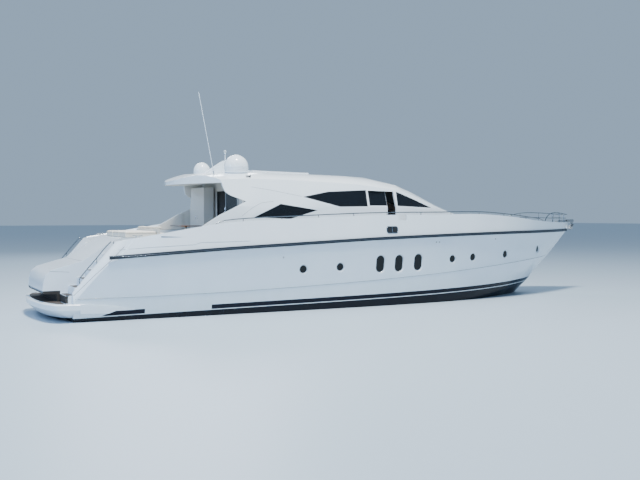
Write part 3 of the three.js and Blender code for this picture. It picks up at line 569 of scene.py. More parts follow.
# Toughened glass with a dark interlayer: nearly black, and what is inside shows faintly.
tinted_glass = two_toned("tinted_glass", 0.03, 0.0, 6.0, 5.0, "#070a10", "#10151d",
                         rough=(0.02, 0.07), Alpha=0.88, IOR=1.5)

# The ports' glass is darker still and mirrors less, with a faint film of dust.
port_glass = two_toned("port_glass", 0.05, 0.0, 8.0, 2.0, "#030405", "#0a0d10", IOR=1.38)
finish_piece(smooth(port_rims, 60), steel, "steel")
finish_piece(smooth(port_panes, 30), port_glass, "glass")


# Rub rails
# A dark rubbing strake of hard rubber covers the joint of hull and deck, with a half-round
# stainless strip screwed along its nose.

# Hard rubber: blue-black, scuffed to a patchy gloss.
strake_rubber = two_toned("rubbing_strake_rubber", 0.42, 0.0, 30.0, 5.0, "#121822", "#1e2631",
                          bump=(0.1, 0.003), rough=(0.32, 0.5))

# Drawn stainless tube and strip, with marks of the die and a satin light along it. Its colour is
# darker than the other steel: painted reflection of the dark things round it.
rail_tube = two_toned("polished_rail_tube", 0.14, 1.0, 60.0, 4.0, "#7b838b", "#626a72",
                      bump=(0.05, 0.001), rough=(0.1, 0.2))

STRIP_SUNK = 0.006


def turns_out(first, middle, last):
    """Whether the middle point lies inboard of the line between its neighbours, seen from above."""
    return (middle.x - first.x) * (last.y - first.y) >= (middle.y - first.y) * (last.x - first.x)


strakes = [copy_of(f"strake_{name}", f"rub_rail_{name}") for name in ("port", "starboard")]
nose = []
for vertex in sorted(strakes[0].data.vertices, key=lambda v: v.co.x):
    point = vertex.co + Vector((0, -STRIP_SUNK, 0))
    while len(nose) > 1 and turns_out(nose[-2], nose[-1], point):
        nose.pop()
    nose.append(point)
strip = line_along("strake_strip_port", nose[1:-1], 0.008, sides=4)
for one in (strip, mirrored(strip, "strake_strip_starboard")):
    finish_piece(one, rail_tube, "steel")
for one, name in zip(strakes, ("port", "starboard")):
    finish_piece(smooth(one, 50), strake_rubber, "rub_rail", f"rub_rail_{name}")


# Deck moulding
# The upper moulding with bulwarks, coachroof and the stair wells, bonded to the hull under the rub
# rail. Teak boards are laid on the side decks, the cockpit sole, the treads and the platform.
COCKPIT_JOINT = -5.3
FOREDECK_JOINT = 4.6
MOULDINGS = ("cockpit_moulding", "deck_moulding", "foredeck_moulding")
deck = copy_of("deck_shell", *MOULDINGS, joint=[(0, COCKPIT_JOINT), (0, FOREDECK_JOINT)])
deck_skin = skin_of(deck)

# Teak left to weather: boards 60 mm wide that run fore and aft, black caulking 5 mm wide between
# them, each board of its own grey-brown, and the grain drawn out along it.
BOARD = 0.06
CAULKING = 0.005


def teak_material(name, light, dark, across="Y"):
    material, shader, place = new_material(name, 0.72)
    axes = add_node(material, "ShaderNodeSeparateXYZ", {0: place})
    boards = maths(material, "DIVIDE", axes.outputs[across], BOARD)
    number = maths(material, "FLOOR", boards)
    within = maths(material, "SUBTRACT", boards, number)
    from_middle = maths(material, "ABSOLUTE", maths(material, "SUBTRACT", within, 0.5))
    caulked = maths(material, "GREATER_THAN", from_middle, 0.5 - 0.5 * CAULKING / BOARD)
    tone = add_node(material, "ShaderNodeTexWhiteNoise", {"W": number}, noise_dimensions="1D")
    along = (2.5, 60.0, 30.0) if across == "Y" else (60.0, 2.5, 30.0)
    drawn = add_node(material, "ShaderNodeMapping", {"Vector": place, "Scale": along})
    grain = noise(material, drawn.outputs[0], 1.0, 6.0)
    tone_and_grain = maths(material, "MULTIPLY_ADD", grain, 0.6,
                           maths(material, "MULTIPLY", tone.outputs[0], 0.4))
    wood = mixed(material, tone_and_grain, linear(light), linear(dark))
    link(material, mixed(material, caulked, wood, linear("#15161a")), shader.inputs["Base Color"])
    bumped(material, shader, maths(material, "SUBTRACT", grain, maths(material, "MULTIPLY", caulked, 2.0)),
           0.35, 0.002)
    return material


weathered_teak = teak_material("weathered_teak_boards", "#544c47", "#322d2a")
tread_teak = teak_material("teak_treads", "#544c47", "#322d2a", across="X")
# The risers' teak is darker than the boards: painted shade, for the recess under the garage and the risers.
riser_teak_painted_shade = teak_material("teak_risers", "#3d3834", "#262321", across="Z")


def flat_faces(one, height, test, tolerance=0.004):
    return faces_where(one, lambda c, n: n.z > 0.999 and abs(c.z - height) < tolerance and test(c))


def covering(name, source, chosen, margin, thickness, material, gap=0.0005, ends=()):
    """Boards laid on some flat faces of a moulding, with a margin left all round. Each of the ends,
    a place in x and the side to cut away, squares off what would be a sharp tip."""
    one = copied(source, name)
    edit(one, chosen)
    bpy.ops.mesh.select_all(action="INVERT")
    bpy.ops.mesh.delete(type="FACE")
    for x, away in ends:
        bpy.ops.mesh.select_all(action="SELECT")
        bpy.ops.mesh.bisect(plane_co=(x, 0, 0), plane_no=(away, 0, 0), clear_outer=True)
    bpy.ops.mesh.select_all(action="SELECT")
    bpy.ops.mesh.dissolve_limited(angle_limit=math.radians(0.5))
    bpy.ops.mesh.select_all(action="SELECT")
    bpy.ops.transform.translate(value=(0, 0, gap))
    bpy.ops.mesh.inset(thickness=margin, use_even_offset=not ends)
    bpy.ops.mesh.select_all(action="INVERT")
    bpy.ops.mesh.delete(type="FACE")
    bpy.ops.mesh.select_all(action="SELECT")
    bpy.ops.mesh.extrude_region_move(TRANSFORM_OT_translate={"value": (0, 0, thickness)})
    outward()
    done()
    one.data.materials.clear()
    return finish_piece(rounded(one, 0.0015, 1, 60, 30), material, "teak")


def block(name, middle, size):
    """A block of its own size and place, to be shaped further."""
    bpy.ops.mesh.primitive_cube_add(size=1, location=middle, scale=size)
    one = bpy.context.object
    one.name = name
    return apply_place(one)


DECK = 2.95
COCKPIT = 2.45
TEAK_THICK = 0.008
covering("side_deck_teak", deck,
         flat_faces(deck, DECK, lambda c: abs(c.y) > 1.4 and c.x < 9.3), 0.045, TEAK_THICK,
         weathered_teak, ends=((-7.2, -1), (8.8, 1)))
covering("cockpit_teak", deck,
         flat_faces(deck, COCKPIT, lambda c: c.x < -5.2), 0.03, TEAK_THICK, weathered_teak)
TREAD_FOOT, TREAD_RUN = -11.5, 1.7 / 6
PLATFORM = 0.62
TREAD_RISE = (COCKPIT - PLATFORM) / 7
TREAD_BOARD = (TREAD_RUN - 0.05, 0.84, 0.012)
STAIR_MIDDLE = 1.915
treads = []
for side in (-1, 1):
    for step in range(1, 7):
        middle = (TREAD_FOOT + TREAD_RUN * (step - 0.5) - 0.004, side * STAIR_MIDDLE,
                  PLATFORM + TREAD_RISE * step + 0.0065)
        treads.append(block("tread", middle, TREAD_BOARD))
tread_boards = joined("tread_boards", *treads)
finish_piece(rounded(tread_boards, 0.004, smooth_angle=30), tread_teak, "teak")
finish_piece(rounded(deck, 0.006, angle=40), white_gelcoat, "gelcoat", *MOULDINGS)


# Swim platform
# A moulding bolted to the transom, its fairings running forward along the hull. The raised middle
# part is all teak. Teak faces the recess under the garage door and the lowest risers, darker than the rest
# as painted shade.
platform = copy_of("platform_shell", "swim_platform")
covering("platform_teak", platform, flat_faces(platform, PLATFORM, lambda c: True), 0.012, 0.004,
         weathered_teak)
platform_paint = boot_striped("platform_gelcoat_with_boot_stripe", (0.342, 0.0, 0.0, 0.0), 0.13, 0.057)
finish_piece(rounded(platform, 0.008, angle=40), platform_paint, "gelcoat", "swim_platform")


def box_piece(name, low, high):
    """A block between two corners."""
    return block(name, [(a + b) / 2 for a, b in zip(low, high)], [b - a for a, b in zip(low, high)])


def moved(one, offset, selected=None):
    """Moves a piece, or only its selected faces."""
    edit(one, selected)
    bpy.ops.transform.translate(value=offset)
    done()
    return one


def split_at(one, axis, *places, test=None):
    """Cuts a piece, or only the faces that pass a test, across an axis at some places."""
    across = [float(axis == i) for i in range(3)]
    for place in places:
        edit(one, faces_where(one, test) if test else None)
        bpy.ops.mesh.bisect(plane_co=[place * a for a in across], plane_no=across)
        done()


RECESS_LEAN = -0.035
RECESS_TOP = 0.985
RECESS_FORE = -11.5
BOARD_FOOT = 0.626
facing = box_piece("transom_facing", (-11.598, -1.44, BOARD_FOOT), (-11.5845, 1.44, 0.862))
moved(facing, (RECESS_LEAN, 0, 0), faces_where(facing, lambda c, n: n.z > 0.9))
risers = []
for side in (-1, 1):
    for (x0, x1), (y0, y1) in (((-11.512, -11.5004), (1.46, 2.37)), ((-11.597, -11.5), (1.4505, 1.459)),
                               ((-11.512, -11.43), (2.3785, 2.386))):
        y0, y1 = sorted((side * y0, side * y1))
        risers.append(box_piece("riser", (x0, y0, BOARD_FOOT), (x1, y1, 0.868)))
finish_piece(rounded(joined("transom_facing", facing, *risers), 0.003, angle=40), riser_teak_painted_shade, "teak")


def round_garage(c, n):
    """The sides and fore end of the recess below the garage."""
    return c.x < -9.5 and abs(c.y) < 1.452 and n.z < 0.9


split_at(hull, 2, RECESS_TOP, test=round_garage)
split_at(hull, 0, RECESS_FORE, test=round_garage)
# The walls and roof of the recess take the dark riser teak as painted shade.
given(hull, riser_teak_painted_shade)
for face in hull.data.polygons:
    c = face.center
    if round_garage(c, face.normal) and c.x < RECESS_FORE and c.z < RECESS_TOP:
        face.material_index = 1


# Garage door
# One curved moulding, hinged at its upper edge and framed by a thin shadow gap. A moulded line runs
# across it where the steep upper half meets the ledge.
door = copy_of("garage_door_shell", "garage_door")
finish_piece(rounded(door, 0.006, angle=40), white_gelcoat, "gelcoat", "garage_door")
# The moulded line is a grey bead: its grey is painted shade of the crease.
door_line = line_along("garage_door_line", [(-10.76, -1.34, 1.961), (-10.76, 1.34, 1.961)], 0.006)
finish_piece(door_line, painted_shade_bead, "gelcoat", body=body_of("garage_door"))


# Deckhouse and hardtop
# Two mouldings bonded together, with a cream lining inside. Black sealant shows round the openings
# for the panes, and grooves run down the hardtop's side and beside the aft pane.
HARDTOP_JOINT = 4.56
house = copy_of("deckhouse_shell", "deckhouse", "hardtop", joint=[(2, HARDTOP_JOINT)])
house_skin = skin_of(house)

# The lining is cream vinyl over board: a weave shows in its gloss, over a slow change of tone. The
# weave is drawn coarser than the real one.
cream_lining, shader, place = new_material("cream_lining", 0.45)
weave = noise(cream_lining, place, 180.0, 3.0)
blotch = noise(cream_lining, place, 1.5)
coloured(cream_lining, shader, blotch, "#eae8e2", "#dcd9d1")
bumped(cream_lining, shader, weave, 0.15, 0.002)
ranged(cream_lining, weave, 0.38, 0.55, shader.inputs["Roughness"])

# Sealant and rubber: near black and pitted.
black_sealant = two_toned("black_sealant", 0.5, 0.0, 120.0, 2.0, "#111317", "#22252b", bump=(0.1, 0.001))

PANES = (
    [(-4.79, 3.45), (-3.67, 3.95), (-2.13, 3.72), (-3.30, 3.39)],
    [(-2.69, 4.22), (-1.59, 4.43), (0.11, 4.515), (0.075, 3.87), (-1.15, 3.85)],
    [(1.49, 4.47), (1.45, 3.895), (3.26, 3.83), (2.90, 3.96)],
)
HOUSE_MIDDLE = 3.6


def off_line(x, z, start, end):
    """How far a place lies from the stretch between two others."""
    run = (end[0] - start[0], end[1] - start[1])
    share = ((x - start[0]) * run[0] + (z - start[1]) * run[1]) / (run[0] ** 2 + run[1] ** 2)
    share = min(1, max(0, share))
    return math.hypot(x - start[0] - share * run[0], z - start[1] - share * run[1])


def beside_pane(c):
    return any(off_line(c.x, c.z, a, b) < 0.006 for pane in PANES for a, b in zip(pane, pane[1:] + pane[:1]))


def painted(one, choose, *materials):
    """Several materials on one piece, with the one for each face chosen by its place and normal."""
    given(one, *materials)
    for face in one.data.polygons:
        face.material_index = choose(face.center, face.normal)
    return one


def house_finish(c, n):
    if abs(c.y) > 0.9 and abs(n.y) < 0.5 and beside_pane(c):
        return 2
    return 1 if (Vector((c.x, 0, HOUSE_MIDDLE)) - c).normalized().dot(n) > 0.2 else 0


painted(house, house_finish, white_gelcoat, cream_lining, black_sealant)
finish_piece(rounded(house, 0.008, **CRISP), white_gelcoat, "gelcoat", "deckhouse", "hardtop")

HARDTOP_GROOVE = [(-4.75, 4.56), (-4.03, 4.46), (-3.22, 4.32), (-2.74, 4.235)]
SIDE_GROOVE = [(-5.27, 3.50), (-4.86, 3.79), (-4.46, 3.98), (-3.95, 4.04)]
# The grooves are grey beads: their grey is painted shade in the grooves.
for name, side in SIDES:
    for label, places in (("hardtop", HARDTOP_GROOVE), ("side", SIDE_GROOVE)):
        finish_piece(surface_line(f"{label}_groove_{name}", house_skin, places, side, 0.005, 0.06),
                     painted_shade_bead, "gelcoat")


# Windows
# Toughened tinted panes bonded flush in the deckhouse, each with a printed black band round its
# edge that hides the sealant. Black posts divide the windscreen, and two wipers rest on it.
def banded_pane(node, band, facing):
    """A pane with a black band along the edge of its two broad faces."""
    pane = copy_of(f"{node}_pane", node)
    painted(pane, lambda c, n: 1, tinted_glass, black_sealant)
    inset_faces(pane, facing, band, material_index=0, even=False)
    return finish_piece(smooth(pane, 25), tinted_glass, "glass", node)


for place_name in ("aft", "middle", "forward"):
    for name in ("port", "starboard"):
        banded_pane(f"window_{place_name}_{name}", 0.035, lambda c, n: abs(n.y) > 0.6)
windscreen = banded_pane("windscreen", 0.06, lambda c, n: abs(n.z) > 0.25 and abs(n.x) < 0.97)
glass_skin = skin_of(windscreen)


def over(skin, x, y, lift=0.0):
    """The point of a skin under x, y, seen from above."""
    point, normal, _, _ = skin.ray_cast(Vector((x, y, 7)), Vector((0, 0, -1)))
    return None if point is None else point + normal * lift


def over_glass(name, side, start, step, count, lift, radius):
    """A bar over the windscreen by equal steps. Start and step are along x and off the middle."""
    points = [over(glass_skin, start[0] + step[0] * i, side * (start[1] + step[1] * i), lift)
              for i in range(count)]
    return line_along(name, [p for p in points if p], radius)


for side in (-1, 1):
    post = over_glass(f"windscreen_post_{side}", side, (2.5, 0.52), (0.1, -0.012), 28, 0.002, 0.016)
    finish_piece(post, black_sealant, "glass")
    arm = over_glass("wiper_arm", side, (5.3, 0.16), (-0.1, 0.05), 10, 0.045, 0.008)
    blade = over_glass("wiper_blade", side, (4.95, 0.16), (-0.1, 0.07), 10, 0.018, 0.01)
    finish_piece(joined(f"wiper_{side}", arm, blade), black_sealant, "glass")


# Side doors
# Each slides aft inside the deckhouse wall, on two feet. The leaf is a white moulding below, and
# above its sill it is tinted glass almost to the edge.
DOOR_SILL = 3.9
DOOR_STILE = 0.006
for name, side in SIDES:
    leaf = copy_of(f"side_door_leaf_{name}", f"side_door_{name}")
    split_at(leaf, 2, DOOR_SILL)
    given(leaf, white_gelcoat, tinted_glass)
    inset_faces(leaf, lambda c, n: c.z > DOOR_SILL and abs(n.y) > 0.6, DOOR_STILE, -0.003, 1, even=False)
    finish_piece(rounded(leaf, 0.004, angle=50), white_gelcoat, "gelcoat", f"side_door_{name}")


# Aft bulkhead and saloon door
# A cream bulkhead closes the saloon. Beside a fixed pane, a framed glass door slides to port on its
# own rails, with an upright grab handle.
bulkhead = copy_of("aft_bulkhead_panel", "aft_bulkhead")
finish_piece(rounded(bulkhead, 0.006, **CRISP), cream_lining, "cream_moulding", "aft_bulkhead")
banded_pane("saloon_window", 0.03, lambda c, n: abs(n.x) > 0.9)

saloon_door = copy_of("saloon_door_leaf", "saloon_door")
given(saloon_door, steel, tinted_glass)
flattened(saloon_door)
inset_faces(saloon_door, lambda c, n: abs(n.x) > 0.9 and c.z > 3, 0.045, -0.006, 1)
finish_piece(rounded(saloon_door, 0.003, **CRISP), steel, "glass", "saloon_door")
DOOR_BODY = body_of("saloon_door")
handle = line_along("saloon_door_handle", [
    (-5.262, -0.79, 3.35), (-5.30, -0.79, 3.35), (-5.31, -0.79, 3.37), (-5.31, -0.79, 3.83),
    (-5.30, -0.79, 3.85), (-5.262, -0.79, 3.85),
], 0.011, sides=4)
finish_piece(handle, steel, "steel", body=DOOR_BODY)


# Cockpit cabinet
# A cream moulded unit against the bulkhead, with two doors over two drawers, each with a steel pull.
cabinet = copy_of("cabinet_unit", "cockpit_cabinet")
CABINET_MIDDLE = 1.24
DRAWER_FOOT, LEAF_FOOT, LEAF_HEAD = 2.62, 3.05, 3.78
PANEL_ACROSS = (0.845, 1.64)
PANEL_HEIGHTS = ((DRAWER_FOOT + LEAF_FOOT) / 2, (LEAF_FOOT + LEAF_HEAD) / 2)
flattened(cabinet)
split_at(cabinet, 1, CABINET_MIDDLE)
split_at(cabinet, 2, DRAWER_FOOT, LEAF_FOOT, LEAF_HEAD)
inset_faces(cabinet, lambda c, n: n.x < -0.9 and DRAWER_FOOT < c.z < LEAF_HEAD, 0.022, each=True)
inset_faces(cabinet, lambda c, n: n.x < -0.9 and min(abs(c.z - z) for z in PANEL_HEIGHTS) < 0.01
            and min(abs(c.y - y) for y in PANEL_ACROSS) < 0.02, 0.006, 0.008, each=True)
finish_piece(rounded(cabinet, 0.004, **CRISP), cream_lining, "cream_moulding", "cockpit_cabinet")
pulls = []
for y, z in ((PANEL_ACROSS[0], 2.95), (PANEL_ACROSS[1], 2.95), (CABINET_MIDDLE - 0.1, 3.45),
             (CABINET_MIDDLE + 0.1, 3.45)):
    ends = [(0, -0.06, 0), (0, 0.06, 0)] if z < 3 else [(0, 0, -0.06), (0, 0, 0.06)]
    at = Vector((-5.70, y, z))
    pulls.append(line_along("pull", [
        at + Vector(ends[0]), at + Vector(ends[0]) + Vector((-0.03, 0, 0)),
        at + Vector(ends[1]) + Vector((-0.03, 0, 0)), at + Vector(ends[1]),
    ], 0.006, sides=3))
finish_piece(joined("cabinet_pulls", *pulls), steel, "steel")


# Upholstery
# Foam pads in outdoor vinyl lie on the two sunpads, the sofas and the helm seat. Each swells in a
# short cloth simulation, then gets its sewn channels and a welt along its edge.
def grained(name, roughness, cells, clouds, detail, first, second, bump, rough):
    """A cover with the cells of leather, drawn coarse enough to show, and a tone and gloss that waver
    as with wear and sun."""
    material, shader, place = new_material(name, roughness)
    cell = add_node(material, "ShaderNodeTexVoronoi", {"Vector": place, "Scale": cells})
    wear = noise(material, place, clouds, detail)
    coloured(material, shader, wear, first, second)
    bumped(material, shader, cell.outputs["Distance"], *bump)
    ranged(material, wear, *rough, shader.inputs["Roughness"])
    return material


outdoor_vinyl = grained("outdoor_vinyl", 0.5, 260.0, 2.2, 4.0, "#e6e2d8", "#d6d0c3", (0.25, 0.0015),
                        (0.42, 0.58))

# The welt is a cord in woven tape, darker than the pads.
welt_cord = two_toned("welt_cord", 0.6, 0.0, 90.0, 3.0, "#b8ab90", "#a5977b", bump=(0.2, 0.001))

PAD_MOVE = 0.016
PAD_STEPS = 14
PAD_VOXEL = 0.022
CHANNEL_HALF = 0.05
CHANNEL_DEPTH = 0.012
WELT_POINTS = 96


def swollen(one):
    """The foam fills out its cover: a cloth simulation with pressure, its travel capped."""
    start = [v.co.copy() for v in one.data.vertices]
    cloth = one.modifiers.new("swell", "CLOTH")
    cloth.settings.use_pressure = True
    cloth.settings.uniform_pressure_force = 4
    cloth.settings.effector_weights.gravity = 0
    cloth.point_cache.frame_end = PAD_STEPS
    for step in range(1, PAD_STEPS + 1):
        bpy.context.scene.frame_set(step)
    apply_modifiers(one)
    for vertex, before in zip(one.data.vertices, start):
        travel = vertex.co - before
        if travel.length > PAD_MOVE:
            vertex.co = before + travel.normalized() * PAD_MOVE
    bpy.context.scene.frame_set(1)
    return one


def oblong(x0, x1, y0, y1):
    return [(x0, y0), (x1, y0), (x1, y1), (x0, y1)]


def pad(name, corners, bottom, top, channels=(), axis=0):
    """A pad over four corners in plan, with sewn channels across it at places along an axis."""
    inset = PAD_MOVE * 0.8
    middle = Vector((sum(c[0] for c in corners) / 4, sum(c[1] for c in corners) / 4))
    ring = []
    for corner in corners:
        away = Vector(corner) - middle
        ring.append(Vector(corner) - Vector((math.copysign(inset, away.x), math.copysign(inset, away.y))))
    points = [(*c, z) for z in (bottom, top - inset) for c in ring]
    one = mesh_object(name, points, [(0, 3, 2, 1), (4, 5, 6, 7), (0, 1, 5, 4), (1, 2, 6, 5),
                                     (2, 3, 7, 6), (3, 0, 4, 7)])
    bevel = one.modifiers.new("edges", "BEVEL")
    bevel.width = min(0.03, (top - bottom) * 0.3)
    bevel.segments = 3
    mesh = one.modifiers.new("even_mesh", "REMESH")
    mesh.mode = "VOXEL"
    mesh.voxel_size = PAD_VOXEL
    apply_modifiers(one)
    swollen(one)
    for vertex in one.data.vertices:
        near = min((abs(vertex.co[axis] - c) for c in channels), default=1)
        if near < CHANNEL_HALF and vertex.co.z > bottom + 0.02:
            vertex.co.z -= CHANNEL_DEPTH * (1 - near / CHANNEL_HALF) ** 2
        vertex.co.z = max(vertex.co.z, bottom)
    soft = one.modifiers.new("even", "SUBSURF")
    soft.levels = soft.render_levels = 1
    apply_modifiers(one)
    only(one)
    bpy.ops.object.shade_smooth()
    return one


def welt(one, height, radius=0.006):
    """A corded seam round a pad at one height."""
    skin = skin_of(one)
    low = [min(v.co[i] for v in one.data.vertices) for i in range(2)]
    high = [max(v.co[i] for v in one.data.vertices) for i in range(2)]
    middle = Vector(((low[0] + high[0]) / 2, (low[1] + high[1]) / 2, height))
    half = Vector(((high[0] - low[0]) / 2, (high[1] - low[1]) / 2, 0))
    points = []
    for step in range(WELT_POINTS):
        turn = 2 * math.pi * step / WELT_POINTS
        reach = 1 / max(abs(math.cos(turn)), abs(math.sin(turn)))
        out = Vector((half.x * math.cos(turn) * reach, half.y * math.sin(turn) * reach, 0)) * 1.3
        hit = skin.ray_cast(middle + out, -out)[0]
        if hit is not None:
            points.append(hit)
    return line_along(one.name + "_welt", points, radius, closed=True)


def upholstered(one, edging, node=None):
    """A pad in vinyl with its corded edging. It can stand for a solid."""
    finish_piece(one, outdoor_vinyl, "upholstery", *([node] if node else []))
    finish_piece(edging, welt_cord, "upholstery")


def pad_rows(offsets, *rows, node=None):
    """Pads and their copies, upholstered. The copies' offsets go by the ends of their names, and each
    row is a pad, the height of its welt and the start of the copies' names."""
    for ending, offset in offsets.items():
        for first, height, start in rows:
            twin = moved(copied(first, f"{start}_{ending}"), offset)
            upholstered(twin, welt(twin, height))
    for first, height, _ in rows:
        upholstered(first, welt(first, height), node)


# The aft sunpad is three pads side by side on the garage top.
PAD_HALF = 0.448
ABREAST = {"port": (0, 0.9, 0), "starboard": (0, -0.9, 0)}
sunpad = pad("aft_sunpad_middle", oblong(-9.28, -8.11, -PAD_HALF, PAD_HALF), 2.7505, 2.96, (-8.9, -8.5))
pad_rows(ABREAST, (sunpad, 2.9, "aft_sunpad"), node="aft_sunpad")


# Cockpit sofa and table
# The sofa is a cream moulded base with three seat pads and three back pads. The table has a teak
# top, rounded and edged, on a turned pedestal bolted to the sole.
sofa_base = joined("cockpit_sofa_base", box_piece("seat", (-7.99, -1.35, 2.4505), (-7.37, 1.35, 2.72)),
                   box_piece("back", (-8.09, -1.35, 2.4505), (-7.985, 1.35, 3.02)))
inset_faces(sofa_base, lambda c, n: n.x > 0.9 and c.x > -7.5, 0.03, -0.01)
finish_piece(rounded(sofa_base, 0.012, **CRISP), cream_lining, "cream_moulding", "cockpit_sofa")
seat = pad("cockpit_seat_middle", oblong(-7.985, -7.35, -PAD_HALF, PAD_HALF), 2.7205, 2.87, (-7.67,))
back = pad("cockpit_back_middle", oblong(-8.07, -7.9, -PAD_HALF, PAD_HALF), 3.0205, 3.12)
pad_rows(ABREAST, (seat, 2.83, "cockpit_seat"), (back, 3.08, "cockpit_back"))


def stacked(name, place, profile, count=32):
    """A turned piece, raised ring by ring from pairs of radius and height above its place."""
    (radius, height), *rest = profile
    at = Vector(place)
    bpy.ops.mesh.primitive_circle_add(vertices=count, radius=radius, fill_type="NGON",
                                      location=at + Vector((0, 0, height)))
    one = bpy.context.object
    one.name = name
    edit(apply_place(one))
    for next_radius, next_height in rest:
        bpy.ops.mesh.extrude_region_move(
            TRANSFORM_OT_translate={"value": (0, 0, next_height - height)})
        share = next_radius / radius
        bpy.ops.transform.resize(value=(share, share, 1), center_override=at)
        radius, height = next_radius, next_height
    outward()
    done()
    return one


# Varnished teak indoors and for table tops: a warm brown with long grain under a clear gloss.
varnished_teak, shader, place = new_material("varnished_teak", 0.2, 0.0, **{
    "Coat Weight": 0.6, "Coat Roughness": 0.08,
})
drawn = add_node(varnished_teak, "ShaderNodeMapping", {"Vector": place, "Scale": (50.0, 3.0, 50.0)})
grain = noise(varnished_teak, drawn.outputs[0], 1.0, 8.0)
coloured(varnished_teak, shader, grain, "#8a5a34", "#5d371d")
bumped(varnished_teak, shader, grain, 0.08, 0.001)
ranged(varnished_teak, grain, 0.16, 0.28, shader.inputs["Roughness"])


def table(name, x, y, length, width, floor, height):
    """A top with a rounded edge and a moulded lip, on a turned pedestal."""
    top = box_piece(f"{name}_top", (x - length / 2, y - width / 2, floor + height - 0.04),
                    (x + length / 2, y + width / 2, floor + height - 0.006))
    inset_faces(top, lambda c, n: n.z > 0.9, 0.05)
    inset_faces(top, lambda c, n: n.z > 0.9 and abs(c.x - x) < 0.01 and abs(c.y - y) < 0.01, 0.004, 0.004)
    finish_piece(rounded(top, 0.008, 3, 60, 40), varnished_teak, "teak", name)
    leg = stacked(f"{name}_pedestal", (x, y, floor), [
        (0.067, 0.001), (0.067, 0.012), (0.045, 0.02), (0.036, 0.05), (0.036, height - 0.13),
        (0.05, height - 0.06), (0.067, height - 0.0405),
    ])
    finish_piece(smooth(leg, 40), steel, "steel")


table("cockpit_table", -6.65, -0.2, 0.8, 1.3, COCKPIT + 0.0002, 0.7)


# Saloon: sole, sofa and table
# The sole is laid in satin wood. The sofa stands along the port side, with upholstery like the
# cockpit's on a low wooden plinth.
SALOON = 2.78
saloon_wood = teak_material("saloon_sole_planks", "#a37c55", "#855f3b")
covering("saloon_sole", deck, flat_faces(deck, SALOON, lambda c: True), 0.02, 0.006, saloon_wood,
         0.0002)
table("saloon_table", -2.3, 0.3, 1.3, 0.7, SALOON, 0.68)
plinth = joined("saloon_sofa_plinth", box_piece("seat", (-3.88, 0.99, 2.7805), (-0.92, 1.78, 2.96)),
                box_piece("back", (-3.88, 1.7, 2.7805), (-0.92, 1.78, 3.58)))
finish_piece(rounded(plinth, 0.01, **CRISP), varnished_teak, "upholstery", "saloon_sofa")
IN_LINE = {"aft": (-1.0, 0, 0), "forward": (1.0, 0, 0)}
seat = pad("saloon_seat_middle", oblong(-2.898, -1.902, 0.95, 1.62), 2.9605, 3.18, (1.28,), 1)
back = pad("saloon_back_middle", oblong(-2.898, -1.902, 1.56, 1.70), 3.1, 3.62)
pad_rows(IN_LINE, (seat, 3.12, "saloon_seat"), (back, 3.55, "saloon_back"))


# Helm
# A dark console spans the front of the saloon, with three displays, a row of switches and two
# throttle levers. The wheel has a leather rim on three steel spokes, and the helm seat is for two.

# Dark soft vinyl, dull against reflections in the windscreen.
dark_trim = grained("dark_soft_trim", 0.6, 300.0, 4.0, 3.0, "#1a1c20", "#26292e", (0.3, 0.001), (0.5, 0.7))

console = copy_of("helm_console_body", "helm_console")
finish_piece(rounded(console, 0.012, 3, **CRISP), dark_trim, "dark_trim", "helm_console")

# The displays are switched off: black glass with smears of fingers.
display_glass = two_toned("display_glass", 0.06, 0.0, 25.0, 3.0, "#06080c", "#10151c", rough=(0.04, 0.14))

DASH_AT = (2.5, 3.66)
DASH_NORMAL = Vector((-0.2, 0, 0.3)).normalized()
DISPLAYS = (-1.02, -0.2, 0.35)
FIRST_SWITCH, SWITCH_STEP = 0.62, 0.05


def on_dash(one, y):
    """Sets a piece on the sloping face of the console."""
    return set_on(one, Vector((DASH_AT[0], y, DASH_AT[1])), DASH_NORMAL, (0.3, 0, 0.2))


for index, y in enumerate(DISPLAYS):
    screen = box_piece(f"display_{index}", (-0.17, -0.11, 0.0004), (0.17, 0.11, 0.022))
    inset_faces(screen, lambda c, n: n.z > 0.9, 0.012, -0.003)
    rounded(screen, 0.004, **CRISP)
    width = 0.7 if index == 0 else 1.0
    edit(screen)
    bpy.ops.transform.resize(value=(width, 1, 1), center_override=(0, 0, 0))
    done()
    finish_piece(on_dash(screen, y), display_glass, "dark_trim")
switches = []
for index in range(9):
    switch = box_piece("switch", (-0.012, -0.02, 0.0004), (0.012, 0.02, 0.01))
    switches.append(on_dash(rounded(switch, 0.003, **CRISP), FIRST_SWITCH + SWITCH_STEP * index))
finish_piece(joined("switches", *switches), black_sealant, "dark_trim")
levers = []
for y in (-0.42, -0.36):
    levers.append(line_along("lever", [(2.60, y, 3.73), (2.575, y, 3.80), (2.55, y, 3.86)], 0.008, sides=3))
    levers.append(smooth(stacked("knob", (2.545, y, 3.86), [(0.008, 0), (0.018, 0.012), (0.02, 0.03),
                                                           (0.012, 0.045)], 16)))
finish_piece(joined("throttle_levers", *levers), steel, "steel")

WHEEL_HUB = Vector((2.08, -0.7, 3.56))
WHEEL_RAKE = math.radians(62)
RIM_INSIDE = 0.165
wheel = copy_of("steering_wheel_finished", "steering_wheel")
wheel_axis = Vector((-math.sin(WHEEL_RAKE), 0, math.cos(WHEEL_RAKE)))


def wheel_finish(c, n):
    """Leather on the rim, and steel on the spokes and the hub."""
    away = c - WHEEL_HUB
    return 0 if (away - wheel_axis * away.dot(wheel_axis)).length > RIM_INSIDE else 1


painted(wheel, wheel_finish, dark_trim, steel)
finish_piece(smooth(wheel, 40), dark_trim, "dark_trim", "steering_wheel")

